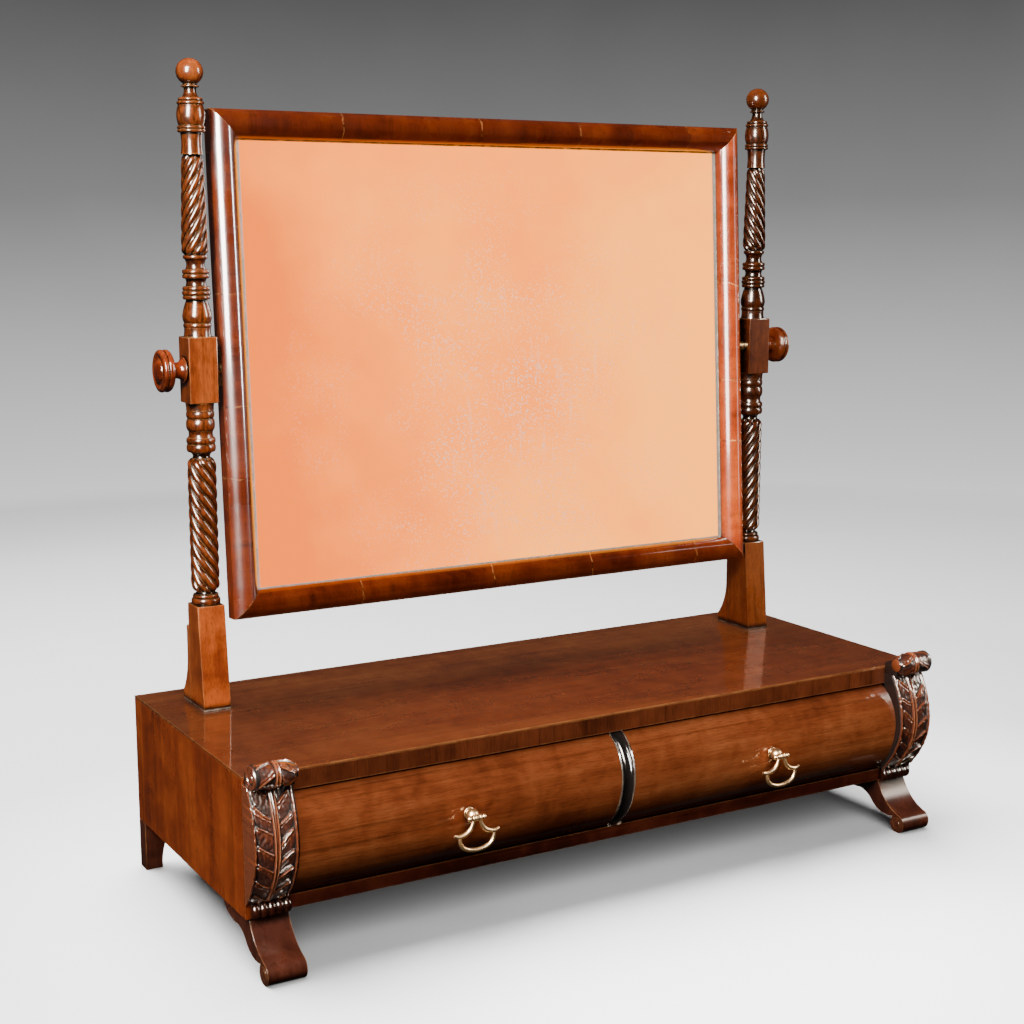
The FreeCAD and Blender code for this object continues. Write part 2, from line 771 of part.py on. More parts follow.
def handle_post():
    """A ball on a collared stud, with a lug in front that carries the bail's pin."""
    pin_place = side_point(pin_forward, pin_z)
    collar = rod(stud_collar_radius, ball_stand, side_point(handle_surface - stud_collar_length, pin_z),
                 Vector(0, -1, 0)).cut(drawer_front_solid())
    ball = Part.makeSphere(ball_radius, side_point(handle_surface + ball_stand, pin_z))
    lug = rod(lug_radius, 2 * lug_half_width, pin_place - Vector(lug_half_width, 0, 0), Vector(1, 0, 0))
    head_reach = pin_head_inner + 2 * pin_head_radius
    body = handle_stud(0).fuse([collar, ball])
    for side in (-1, 1):
        start = pin_place + Vector(side * lug_half_width, 0, 0)
        body = body.cut(rod(lug_radius + swing_clearance, head_reach, start, Vector(side, 0, 0)))
    hole = rod(pin_radius + running_clearance, 2 * head_reach, pin_place - Vector(head_reach, 0, 0),
               Vector(1, 0, 0))
    return body.fuse(lug).cut(hole)


def handle_nut():
    nut = rod(nut_radius, nut_length, side_point(drawer_front_inner, pin_z), Vector(0, 1, 0))
    return nut.cut(handle_stud(running_clearance))


def pin_head(side, grown):
    """The turned bead on one end of the bail's pin, grown for the room that the eye leaves it."""
    outward = Vector(side, 0, 0)
    start = side_point(pin_forward, pin_z) + outward * (pin_head_inner - grown)
    crest = start + outward * (pin_head_radius + grown)
    edge = pin_head_radius * pin_head_edge_share + grown
    inner = Part.makeCone(edge, pin_head_radius + grown, pin_head_radius + grown, start, outward)
    outer = Part.makeCone(pin_head_radius + grown, edge, pin_head_radius + grown, crest, outward)
    return inner.fuse(outer)


def bail_pin():
    """The pin through the lug and the bail's eyes, with a small bead on each end."""
    reach = pin_head_inner + pin_head_radius
    start = side_point(pin_forward, pin_z) - Vector(reach, 0, 0)
    pin = rod(pin_radius, 2 * reach, start, Vector(1, 0, 0))
    return pin.fuse([pin_head(-1, 0), pin_head(1, 0)])


def wire_sweep(start, through, end):
    """Cast wire of eight flats along an arc in the bail's hanging plane."""
    path = Part.Arc(start, through, end).toShape()
    circle = path.Curve
    radial = (start - circle.Center).normalize()
    corners = []
    for flat in range(bail_flats + 1):
        angle = (2 * flat + 1) * math.pi / bail_flats
        section = radial * math.cos(angle) + circle.Axis * math.sin(angle)
        corners.append(start + section * bail_wire)
    turn = math.degrees(path.LastParameter - path.FirstParameter)
    return Part.Face(Part.makePolygon(corners)).revolve(circle.Center, circle.Axis, turn)


def bail():
    """A stirrup-shaped drop: two eyes, arms that sweep out to horns, and a loop between them."""
    centre = side_point(pin_forward, pin_z)

    def hang(x, down):
        return centre + Vector(x, 0, -down)

    eye_middle = (eye_inner + eye_outer) / 2
    arm_along, arm_down = bail_arm_mid_shares
    loop = wire_sweep(hang(-bail_loop_half_width, bail_loop_top), hang(0, bail_drop),
                      hang(bail_loop_half_width, bail_loop_top))
    body = loop
    for side in (-1, 1):
        eye = rod(lug_radius, eye_width, centre + Vector(side * eye_inner, 0, 0), Vector(side, 0, 0))
        arm = wire_sweep(hang(side * eye_middle, bail_horn_drop * bail_eye_drop_share),
                         hang(side * bail_half_span * arm_along, bail_horn_drop * arm_down),
                         hang(side * bail_half_span, bail_horn_drop))
        body = body.fuse([eye, arm])
    reach = eye_outer + swing_clearance
    hole = rod(pin_radius + running_clearance, 2 * reach, centre - Vector(reach, 0, 0), Vector(1, 0, 0))
    lug_space = rod(lug_radius + swing_clearance, 2 * eye_inner, centre - Vector(eye_inner, 0, 0),
                    Vector(1, 0, 0))
    head_spaces = [pin_head(side, swing_clearance) for side in (-1, 1)]
    return body.cut([hole, lug_space] + head_spaces)


def drawer_front_solid():
    """A drawer front about the middle plane: bowed outside, flat inside."""
    front = case_depth - drawer_setback
    low = drawer_low
    high = fascia_bottom - drawer_gap
    arcs = bulge_arcs(front, drawer_bulge, low, high)
    wire = outline(side_point, (drawer_front_inner, low), (drawer_front_inner, high), (front, high), *arcs)
    return across(wire, -drawer_half_width, drawer_half_width)


def drawer_pieces():
    """One drawer with its handle, about the middle plane."""
    inner = drawer_half_width - lining_thickness
    high = fascia_bottom - lining_headroom
    tray_low = drawer_low + tray_rise
    tray_high = tray_low + tray_thickness
    back_inner = drawer_back_forward + lining_thickness
    left = block(-drawer_half_width, -inner, drawer_back_forward, drawer_front_inner, drawer_low, high)
    front = drawer_front_solid()
    return {
        "drawer_front": front.cut(handle_stud(running_clearance)),
        "drawer_left_side": left,
        "drawer_right_side": mirrored(left),
        "drawer_back": block(-inner, inner, drawer_back_forward, back_inner, tray_high, high),
        "drawer_bottom": block(-inner, inner, drawer_back_forward, drawer_front_inner, tray_low, tray_high),
        "handle_post": handle_post(),
        "handle_nut": handle_nut(),
        "bail_pin": bail_pin(),
        "bail": bail(),
    }


def paired(name, shape):
    """A piece made for the left side, and its mirror image for the right."""
    return {"left_" + name: shape, "right_" + name: mirrored(shape)}


def all_pieces():
    pieces = {
        "top_board": top_board(),
        "top_veneer": top_veneer(),
        "fascia_banding": fascia_banding(),
        "back_board": back_board(),
        "bottom_board": bottom_board(),
        "bottom_front_rail": bottom_front_rail(),
        "centre_partition": centre_partition(),
        "centre_moulding": centre_moulding(),
        "drawer_guides": drawer_guides(),
        "drawer_stops": drawer_stops(),
        "post_screws": Part.makeCompound(both_post_screws(0)),
    }
    pieces.update(paired("side_panel", side_panel()))
    pieces.update(paired("pilaster", pilaster()))
    pieces.update(paired("scroll", scroll()))
    pieces.update(paired("reeded_roll", reeded_roll()))
    pieces.update(paired("front_foot", front_foot()))
    pieces.update(paired("back_foot", back_foot()))
    pieces.update(paired("post", post()))
    pieces.update(paired("post_bracket", post_bracket()))
    pieces.update(paired("knob", knob()))
    pieces.update(paired("knob_screw", pivot_screw(0)))
    for name, shape in mirror_pieces().items():
        pieces[name] = tilted(shape)
    for name, shape in drawer_pieces().items():
        pieces["left_" + name] = shape.translated(Vector(-drawer_middle, 0, 0))
        pieces["right_" + name] = shape.translated(Vector(drawer_middle, 0, 0))
    return pieces


os.makedirs("parts", exist_ok=True)
for node, piece in all_pieces().items():
    print(node, len(piece.Solids), piece.isValid(), round(piece.Volume / 1000, 2))
    piece.exportStep("parts/" + node + ".step")
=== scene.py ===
# %% [markdown]
# A dressing mirror on a box base. The plate swings between two spiral-turned posts, and the base holds a
# pair of bow-fronted drawers between carved corners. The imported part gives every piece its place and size
# in metres, so this lesson only has to give each one its worked surface: eased arrises, turning, carving,
# polish, age and light.

# %% Load the part
import math

import bmesh
import bpy
from mathutils import Matrix, Vector, noise


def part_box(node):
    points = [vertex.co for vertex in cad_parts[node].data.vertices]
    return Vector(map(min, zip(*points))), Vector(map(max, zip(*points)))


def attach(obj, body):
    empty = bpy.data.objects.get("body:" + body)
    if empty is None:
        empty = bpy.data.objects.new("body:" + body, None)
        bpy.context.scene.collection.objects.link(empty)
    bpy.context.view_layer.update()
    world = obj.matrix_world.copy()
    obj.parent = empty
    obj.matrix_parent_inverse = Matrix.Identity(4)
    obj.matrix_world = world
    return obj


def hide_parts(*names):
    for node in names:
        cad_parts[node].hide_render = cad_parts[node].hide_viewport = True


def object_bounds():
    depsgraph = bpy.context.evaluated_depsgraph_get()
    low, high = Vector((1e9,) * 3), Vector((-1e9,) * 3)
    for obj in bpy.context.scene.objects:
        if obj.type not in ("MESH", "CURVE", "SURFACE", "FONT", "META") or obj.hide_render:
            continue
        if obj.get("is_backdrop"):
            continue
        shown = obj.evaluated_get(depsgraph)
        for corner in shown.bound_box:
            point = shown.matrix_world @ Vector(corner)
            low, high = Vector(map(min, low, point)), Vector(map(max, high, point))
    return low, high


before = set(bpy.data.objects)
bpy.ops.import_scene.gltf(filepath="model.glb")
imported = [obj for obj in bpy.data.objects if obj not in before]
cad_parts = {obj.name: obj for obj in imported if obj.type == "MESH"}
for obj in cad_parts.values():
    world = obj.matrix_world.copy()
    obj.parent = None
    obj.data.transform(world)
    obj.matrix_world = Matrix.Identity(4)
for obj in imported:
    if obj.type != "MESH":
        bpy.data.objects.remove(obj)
cad_low, cad_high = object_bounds()
print("part from", tuple(cad_low), "to", tuple(cad_high), "in", len(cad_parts), "nodes")

# %% [markdown]
# Every worked piece ends the same way: its mesh becomes an object at the origin, takes a finish, rides on
# the body that carries it and stands for the plain solids under it. Pieces come in left and right pairs, so
# one helper makes a left one and its mirror image. The others join meshes, close them and set which edges
# stay crisp.

# %% Helpers for pieces
mm = 0.001
sides = {"left": -1, "right": 1}


def crisp_above(bm, degrees):
    """Smooth shading, apart from edges that turn by more than some degrees."""
    for face in bm.faces:
        face.smooth = True
    for edge in bm.edges:
        edge.smooth = len(edge.link_faces) == 2 and edge.calc_face_angle() < math.radians(degrees)


def join(bm, other):
    """Adds one mesh in the making to another."""
    carrier = bpy.data.meshes.new("carrier")
    other.to_mesh(carrier)
    other.free()
    bm.from_mesh(carrier)
    bpy.data.meshes.remove(carrier)


def rim_of(bm):
    return [edge for edge in bm.edges if edge.is_boundary]


def close(bm):
    """Fills the open ends of a mesh and turns its faces outward."""
    rim = rim_of(bm)
    if rim:
        bmesh.ops.holes_fill(bm, edges=rim, sides=0)
    bmesh.ops.recalc_face_normals(bm, faces=bm.faces)


def extrude_rim(bm):
    """Extrudes a sheet's rim, and gives its new points."""
    made = bmesh.ops.extrude_edge_only(bm, edges=rim_of(bm))["geom"]
    return [item for item in made if isinstance(item, bmesh.types.BMVert)]


def as_object(name, bm, material):
    mesh = bpy.data.meshes.new(name)
    bm.to_mesh(mesh)
    bm.free()
    made = bpy.data.objects.new(name, mesh)
    bpy.context.scene.collection.objects.link(made)
    mesh.materials.append(material)
    return made


def place(name, bm, material, body, slot, *nodes):
    """Makes the mesh a piece that rides on a body and stands for CAD nodes."""
    piece = as_object(name, bm, material)
    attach(piece, body)
    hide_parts(*nodes)
    print(name, "on", body, "with", len(piece.data.polygons), "faces")


def place_pair(make, ending, material, slot, node, body=None):
    """Places a left-hand piece and its right-hand image, on the case or on each side's own body."""
    for side, sign in sides.items():
        bm = make()
        if sign > 0:
            bmesh.ops.scale(bm, vec=(-1, 1, 1), verts=bm.verts)
            bmesh.ops.reverse_faces(bm, faces=bm.faces)
        place(side + ending, bm, material, side + body if body else "case", slot, side + node)


print("helpers ready, metres with", mm, "as a millimetre")

# %% [markdown]
# A joiner takes the sharpness off every arris with a scraper, and polish gathers there. A copy of a plain
# board is made one clean solid again by merging its corners and dissolving the flat triangles, and then
# each sharp edge gets a small round bevel. The light needs that round: a perfectly sharp edge never glints.

# %% Eased boards
same_point = 0.002 * mm
flat_within = math.radians(0.4)
sharp_from = math.radians(24)


def ease(bm, edges, radius):
    """Rounds some edges off and keeps the flats between them flat."""
    bmesh.ops.bevel(bm, geom=edges, offset=radius, offset_type="OFFSET", segments=2, profile=0.5,
                    affect="EDGES", material=-1, clamp_overlap=True)
    crisp_above(bm, degrees=20)


def eased(node, radius):
    """A board copied from its solid, with its arrises taken off."""
    bm = bmesh.new()
    bm.from_mesh(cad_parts[node].data)
    bmesh.ops.remove_doubles(bm, verts=bm.verts, dist=same_point / 2)
    bmesh.ops.dissolve_limit(bm, angle_limit=flat_within, verts=bm.verts, edges=bm.edges)
    inner = [edge for edge in bm.edges if len(edge.link_faces) == 2]
    ease(bm, [edge for edge in inner if edge.calc_face_angle() > sharp_from], radius)
    return bm


print("edges sharper than", round(math.degrees(sharp_from)), "degrees are eased")

# %% [markdown]
# Finishes come next. They are all node materials on Object coordinates, so the grain runs through a piece
# as it does through a board. A small class holds one finish in the making. It adds nodes and fills their
# sockets with values or with the outputs of other nodes. Colours are written as they look on a screen and
# then made linear.

# %% Helpers for finishes
def tone(red, green, blue):
    """A screen colour, 0 to 255, as the linear colour that nodes use."""
    linear = []
    for value in (red, green, blue):
        share = value / 255
        linear.append(share / 12.92 if share <= 0.04045 else ((share + 0.055) / 1.055) ** 2.4)
    return (*linear, 1)


class Finish:
    """A node material in the making."""

    def __init__(self, name):
        self.material = bpy.data.materials.new(name)
        self.material.use_nodes = True
        self.tree = self.material.node_tree
        self.shader = self.tree.nodes["Principled BSDF"]
        self.where = self.add("TexCoord").outputs["Object"]

    def fill(self, node, sockets):
        for socket, value in sockets.items():
            if isinstance(value, bpy.types.NodeSocket):
                self.tree.links.new(value, node.inputs[socket])
            else:
                node.inputs[socket].default_value = value
        return node

    def add(self, kind, sockets=None, **settings):
        node = self.tree.nodes.new("ShaderNode" + kind)
        for name, value in settings.items():
            setattr(node, name, value)
        return self.fill(node, sockets or {})

    def done(self, sockets):
        self.fill(self.shader, sockets)
        return self.material

    def sums(self, operation, first, second=0.5):
        return self.add("Math", {0: first, 1: second}, operation=operation).outputs[0]

    def plus(self, first, second):
        return self.sums("ADD", first, second)

    def minus(self, first, second):
        return self.sums("SUBTRACT", first, second)

    def times(self, first, second):
        return self.sums("MULTIPLY", first, second)

    def vectors(self, operation, first, second=(0, 0, 0)):
        return self.add("VectorMath", {0: first, 1: second}, operation=operation)

    def ramp(self, value, *stops):
        """A value turned into a colour by stops of (place, colour)."""
        node = self.add("ValToRGB", {0: value})
        elements = node.color_ramp.elements
        while len(elements) < len(stops):
            elements.new(0.5)
        for element, (at, colour) in zip(elements, stops):
            element.position = at
            element.color = colour
        return node.outputs[0]

    def fade(self, value, *stops):
        """A value turned into a grey by stops of (place, share of white)."""
        return self.ramp(value, *((at, (share, share, share, 1)) for at, share in stops))

    def mix(self, factor, first, second, blend="MIX"):
        sockets = {0: factor, 6: first, 7: second}
        return self.add("Mix", sockets, data_type="RGBA", blend_type=blend).outputs[2]

    def shaded(self, colour, share):
        return self.mix(1.0, colour, share, "MULTIPLY")

    def axis(self, letter):
        return self.add("SeparateXYZ", {0: self.where}).outputs["XYZ".index(letter)]

    def between(self, letter, low, high, first, last, course="LINEAR"):
        """A value that runs from first to last between two places on an axis."""
        sockets = {0: self.axis(letter), 1: low, 2: high, 3: first, 4: last}
        return self.add("MapRange", sockets, interpolation_type=course).outputs[0]

    def clouds(self, scale, detail, roughness=0.5):
        sockets = {"Vector": self.where, "Scale": scale, "Detail": detail, "Roughness": roughness}
        return self.add("TexNoise", sockets).outputs[0]

    def streaks(self, grain, along, across, detail=4, distortion=0.0):
        """Noise drawn out along the grain axis: along and across are cycles per metre."""
        scale = [along if letter == grain else across for letter in "XYZ"]
        drawn = self.add("Mapping", {"Vector": self.where, "Scale": scale}).outputs[0]
        sockets = {"Vector": drawn, "Scale": 1, "Detail": detail, "Roughness": 0.55, "Distortion": distortion}
        return self.add("TexNoise", sockets).outputs[0]

    def openness(self, distance):
        """1 on an open surface, less in a corner or a hollow of about the distance."""
        return self.add("AmbientOcclusion", {"Distance": distance}, samples=4).outputs["AO"]

    def bump(self, height, strength, distance):
        sockets = {"Strength": strength, "Distance": distance, "Height": height}
        return self.add("Bump", sockets).outputs[0]


print("finish helpers ready")

# %% [markdown]
# Mahogany under French polish has several scales of figure: broad clouds, stripes a few millimetres wide,
# mottling, fine fibres, and short dark pores. Each is noise drawn out along the grain. Veneer laid across
# the grain comes in short leaves with an open seam between them.

# %% Figure of the wood
leaves_per_metre = 9
seam_wander = 12 * mm


def mottling(made, grain):
    return made.streaks(grain, 48, 36, detail=2, distortion=0.5)


def fibres(made, grain):
    return made.streaks(grain, 26, 1100, detail=3)


def wood_figure(made, grain, tones, figure, veining):
    """Clouds, stripes, mottling, veins and fibres as one colour."""
    cloud = made.streaks(grain, 3.2, 11, detail=3, distortion=0.4)
    stripe = made.streaks(grain, 4, 110 * figure, detail=5, distortion=0.2)
    vein = made.streaks(grain, 2.6, 230 * figure, detail=4, distortion=0.1)
    figured = made.plus(made.times(cloud, 0.5), made.times(stripe, 0.26))
    figured = made.plus(figured, made.times(mottling(made, grain), 0.24))
    colour = made.ramp(figured, *zip((0.38, 0.5, 0.62), tones))
    colour = made.shaded(colour, made.fade(vein, (0.31, 1 - veining), (0.41, 1)))
    return made.shaded(colour, made.fade(fibres(made, grain), (0.3, 0.84), (0.6, 1.04)))


def veneer_leaves(made, colour, grain, axis, worn):
    """Leaves laid along an axis, lighter and darker, with dark or chipped seams."""
    along = made.plus(made.axis(axis), made.times(mottling(made, grain), seam_wander))
    cells = {"W": along, "Scale": leaves_per_metre}
    leaf = made.add("TexVoronoi", cells, voronoi_dimensions="1D").outputs["Color"]
    seam = made.add("TexVoronoi", cells, voronoi_dimensions="1D", feature="DISTANCE_TO_EDGE")
    gap = made.ramp(made.streaks(grain, 150, 150, detail=2), (0.4, tone(24, 8, 4)), (0.6, worn))
    colour = made.shaded(colour, made.fade(leaf, (0.15, 0.58), (0.85, 1.15)))
    return made.mix(made.fade(seam.outputs["Distance"], (0.002, 0.8), (0.007, 0)), colour, gap)


print("figure ready, with", leaves_per_metre, "leaves of veneer to the metre")

# %% [markdown]
# Age lies over the figure, with some shade painted into it. The polish is painted darker low down, as painted
# shade, and turned work is flecked and painted darker, as painted shade among its mouldings: its meshes carry
# a point attribute, "turned", that says how much. The Ambient Occlusion node darkens corners and hollows,
# with dirt and with painted shade. Polish wears off the arrises, which shows as lighter lines: comparing the
# true normal with one rounded by the Bevel node finds them. Dust lies in a pale line where a post meets the
# top.
# The coat is the polish itself, set straight on the shader's sockets.

# %% Polished wood
worn_wood = (206, 136, 78)
dust_tone = (222, 204, 182)
dust_height = 2 * mm
turned_shade_level = 0.56


# Painted shade: turned work is flecked and painted darker overall than the square stretches.
def turned_flecks_and_shade(made, grain, flecks):
    amount = made.add("Attribute", attribute_name="turned").outputs["Fac"]
    specks = made.streaks(grain, 130, 300, detail=3, distortion=0.3)
    specks = made.fade(specks, (0.4, turned_shade_level * (1 - flecks)), (0.58, turned_shade_level))
    return made.mix(amount, (1, 1, 1, 1), specks)


def arrises(made, edge, arris_from):
    """1 along edges that a rounding of some radius would change."""
    rounded = made.add("Bevel", {"Radius": edge}, samples=4).outputs[0]
    true = made.add("NewGeometry").outputs["Normal"]
    turn = made.vectors("DOT_PRODUCT", rounded, true).outputs["Value"]
    return made.fade(turn, (arris_from, 1), (0.99, 0))


def polished_wood(name, grain, dark, middle, light, worn=worn_wood, wear=0.5, dirt_and_shade=0.6, coat=0.55,
                  rough=(0.22, 0.38), figure=1.0, pore=0.4, hollow=9 * mm, edge=1.1 * mm, leaves=None,
                  low_shade=None, gloss=0.09, veining=0.34, ripples=0.1, sheen=0.12, dirt_and_shade_range=(0.4, 0.93),
                  flecks=0.0, dust=None, arris_from=0.88):
    """A wood in three screen tones, with its grain along an axis."""
    made = Finish(name)
    worn = tone(*worn)
    colour = wood_figure(made, grain, [tone(*one) for one in (dark, middle, light)], figure, veining)
    pored = made.fade(made.streaks(grain, 95, 2600, detail=2), (0.36, 1 - pore), (0.46, 1))
    colour = made.shaded(colour, pored)
    if leaves:
        colour = veneer_leaves(made, colour, grain, leaves, worn)
    # Painted shade: the colour grows darker towards the bottom of the piece.
    if low_shade:
        low, high, share = low_shade
        colour = made.shaded(colour, made.between("Z", low, high, share, 1, "SMOOTHSTEP"))
    if flecks:
        colour = made.shaded(colour, turned_flecks_and_shade(made, grain, flecks))
    # Dirt and painted shade: corners and hollows are darkened by how closed in they are.
    corner = made.openness(hollow)
    colour = made.shaded(colour, made.fade(corner, (dirt_and_shade_range[0], 1 - dirt_and_shade), (dirt_and_shade_range[1], 1)))
    patchy = made.fade(made.streaks(grain, 60, 90, detail=3), (0.35, 0.3 * wear), (0.6, wear))
    rubbed = made.times(made.times(arrises(made, edge, arris_from), patchy), corner)
    colour = made.mix(rubbed, colour, worn)
    if dust is not None:
        line = made.between("Z", dust, dust + dust_height, 1, 0)
        colour = made.mix(made.times(line, patchy), colour, tone(*dust_tone))
    smear = made.streaks(grain, 14, 30, detail=4)
    heights = made.plus(made.times(fibres(made, grain), 0.25), pored)
    ripple = made.streaks(grain, 9, 24, detail=2)
    return made.done({
        "Base Color": colour, "Roughness": made.fade(smear, (0.3, rough[0]), (0.7, rough[1])),
        "Normal": made.bump(heights, 0.22, 0.12 * mm), "Coat Normal": made.bump(ripple, ripples, 0.6 * mm),
        "Coat Weight": coat, "Coat Roughness": gloss, "Coat IOR": 1.6, "Specular IOR Level": sheen})


print("polish ready")

# %% [markdown]
# The tones are read from the object: the top is a middle brown with darker streaks, the sides are
# redder with the grain standing up, the drawer fronts are the most golden, and the frame and the feet are
# darker.

# %% Mahogany finishes
# The drawer fronts are painted darker below the belly, as painted shade.
drawer_low, drawer_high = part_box("left_drawer_front")
belly_share = 0.48
drawer_belly = drawer_low.z + belly_share * (drawer_high.z - drawer_low.z)
top_wood = polished_wood("mahogany_top", "X", (112, 56, 32), (140, 73, 40), (158, 89, 49), wear=1.0,
                         edge=2 * mm, coat=1.0, gloss=0.05, veining=0.12, ripples=0.03, arris_from=0.97)
side_wood = polished_wood("mahogany_side", "Z", (94, 33, 13), (150, 62, 22), (188, 88, 33), wear=0.8)
drawer_wood = polished_wood("mahogany_drawer", "X", (104, 46, 26), (148, 74, 40), (174, 96, 54), wear=0.3,
                            low_shade=(drawer_low.z, drawer_belly, 0.1))
band_wood = polished_wood("mahogany_cross_band", "Z", (76, 34, 20), (106, 51, 29), (128, 64, 37), wear=0.9,
                          edge=1.8 * mm)
rail_wood = polished_wood("mahogany_rail", "X", (30, 12, 8), (58, 22, 13), (84, 36, 22))
post_wood = polished_wood("mahogany_post", "Z", (118, 46, 17), (172, 79, 30), (202, 106, 46), wear=0.8,
                          dirt_and_shade=0.99, coat=1.0, hollow=8 * mm, edge=1.5 * mm, gloss=0.15, dirt_and_shade_range=(0.74, 0.985),
                          flecks=0.62, dust=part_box("left_post")[0].z)
rail_veneer = polished_wood("frame_veneer_rails", "Z", (86, 26, 7), (126, 45, 12), (152, 64, 20), wear=0.8,
                            figure=0.5, coat=1.0, leaves="X", sheen=0.15)
stile_veneer = polished_wood("frame_veneer_stiles", "X", (98, 30, 9), (140, 51, 16), (168, 71, 24), wear=0.7,
                             figure=0.5, coat=1.0, leaves="Z", sheen=0.4)
foot_wood = polished_wood("mahogany_foot", "Z", (54, 24, 16), (86, 41, 27), (114, 59, 41), wear=0.9,
                          figure=0.7, coat=0.35, gloss=0.2)
knob_wood = polished_wood("mahogany_knob", "X", (92, 29, 10), (146, 56, 22), (182, 88, 36), dirt_and_shade=0.96,
                          coat=1.0, hollow=5 * mm)
bead_wood = polished_wood("mahogany_beads", "Z", (22, 8, 5), (56, 21, 12), (88, 38, 22), wear=0.6, dirt_and_shade=0.95,
                          coat=1.0, hollow=4 * mm)
print("mahogany in", len([m for m in bpy.data.materials if m.name.startswith("mahogany")]), "finishes")

# %% [markdown]
# The hidden boards were never polished. Pine and oak are left dry, and they darken with dust. They share
# the polished recipe with no coat and a rougher surface. The moulding between the drawers is polished
# black.

# %% Dry woods and black polish
pine_wood = polished_wood("dry_pine", "X", (92, 60, 34), (134, 92, 54), (168, 124, 78), (180, 142, 98),
                          wear=0.3, coat=0.0, rough=(0.62, 0.8), figure=0.5, pore=0.25)
stained_pine = polished_wood("stained_pine", "X", (40, 24, 15), (66, 40, 25), (92, 60, 38), (120, 88, 60),
                             wear=0.4, coat=0.0, rough=(0.6, 0.8), figure=0.6, pore=0.25)
oak_wood = polished_wood("drawer_oak", "Y", (116, 82, 48), (154, 114, 70), (182, 142, 94), (196, 160, 116),
                         wear=0.25, coat=0.0, rough=(0.55, 0.75), pore=0.5)
oak_bottom = polished_wood("drawer_oak_bottom", "X", (112, 80, 48), (148, 110, 68), (176, 138, 92),
                           (196, 160, 116), wear=0.2, coat=0.0, rough=(0.55, 0.75), pore=0.5)
ebony = polished_wood("ebonised_polish", "Z", (10, 8, 8), (16, 13, 12), (24, 19, 16), (178, 156, 134),
                      wear=0.9, coat=1.0, rough=(0.16, 0.26), pore=0.2)
print("dry woods and black polish ready")

# %% [markdown]
# Carving is seen by its contrast: hands rub the ridges to a warm shine, and the cuts keep a century of dark
# wax and are painted darker still, as painted shade in the hollows. The carved meshes carry a point
# attribute,
# "relief", from 0 in the deepest cut to 1 on the ridges, so the finish can follow the carver's knife exactly.

# %% Carved wood
def carved_wood(name):
    made = Finish(name)
    relief = made.add("Attribute", attribute_name="relief").outputs["Fac"]
    mottled = made.minus(made.streaks("Z", 60, 160, detail=5), 0.5)
    level = made.plus(relief, made.times(mottled, 0.35))
    # Painted shade in the cuts, near black, and lighter rubbed ridges.
    colour = made.ramp(level, (0.1, tone(24, 9, 6)), (0.3, tone(80, 34, 20)), (0.55, tone(128, 62, 36)),
                       (0.82, tone(152, 78, 44)), (1.0, tone(186, 124, 88)))
    knife = made.streaks("Z", 300, 700, detail=3)
    return made.done({
        "Base Color": colour, "Roughness": made.fade(level, (0.2, 0.45), (0.9, 0.16)),
        "Normal": made.bump(knife, 0.3, 0.25 * mm),
        "Coat Weight": 1.0, "Coat Roughness": 0.12, "Coat IOR": 1.6})


carving = carved_wood("carved_mahogany")
print("carving ready")

# %% [markdown]
# Brass goes pale where fingers polish it and brown where they don't reach. Iron screws and nails are nearly
# black with a little rust.

# %% Metals
def aged_metal(name, dull, bright, stain, rough):
    made = Finish(name)
    patches = made.clouds(190, 6, 0.65)
    colour = made.ramp(patches, (0.36, tone(*dull)), (0.62, tone(*bright)))
    open_share = made.fade(made.openness(4 * mm), (0.3, 0), (0.8, 1))
    return made.done({
        "Base Color": made.mix(open_share, tone(*stain), colour),
        "Roughness": made.fade(patches, (0.3, rough[1]), (0.7, rough[0])),
        "Normal": made.bump(made.clouds(1400, 4), 0.15, 0.1 * mm), "Metallic": 1.0})


brass = aged_metal("pale_brass", (190, 150, 104), (240, 206, 160), (70, 50, 32), (0.26, 0.42))
iron = aged_metal("dark_iron", (30, 26, 24), (62, 56, 52), (44, 24, 14), (0.45, 0.7))
print("brass and iron ready")

# %% [markdown]
# The plate is old silvered glass: a warm mirror with a slight wave, pale foxing where damp has reached the
# silver round the middle and in drifts and runs, and a strip of lost silver along the frame. Metal with a
# very small roughness gives the mirror, and it is less of a metal where the silver has gone.

# %% Silvered plate
plate_low, plate_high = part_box("mirror_glass")
plate_middle = (plate_low + plate_high) / 2
plate_cover = 7.5 * mm
foxing_drop = 45 * mm


def lost_rim(made):
    """1 where the silver has gone, close to the frame's sight edge."""
    sight = plate_high - plate_middle - Vector((plate_cover, 0, plate_cover))
    near_x = made.minus(sight.x, made.sums("ABSOLUTE", made.axis("X")))
    off_z = made.sums("ABSOLUTE", made.minus(made.axis("Z"), plate_middle.z))
    near = made.sums("MINIMUM", near_x, made.times(made.minus(sight.z, off_z), 2.5))
    strip = made.fade(made.times(near, 100), (0.3, 1), (0.42, 0))
    return made.times(strip, made.fade(made.clouds(130, 5, 0.7), (0.35, 0.55), (0.55, 1)))


def foxed(made):
    """Specks and runs in drifts, fading out away from the middle."""
    worst_at = plate_middle - Vector((0, 0, foxing_drop))
    away = made.vectors("DISTANCE", made.where, worst_at).outputs["Value"]
    drifts = made.clouds(11, 5, 0.6)
    specks = made.fade(made.clouds(460, 3, 0.6), (0.55, 0), (0.62, 1))
    runs = made.fade(made.streaks("Z", 8, 150, detail=5), (0.6, 0), (0.8, 0.7))
    foxing = made.plus(made.times(specks, made.fade(drifts, (0.42, 0), (0.58, 1))),
                       made.times(runs, made.fade(drifts, (0.4, 0), (0.6, 1))))
    return made.sums("MINIMUM", made.times(foxing, made.fade(away, (0.03, 1), (0.24, 0))), 1)


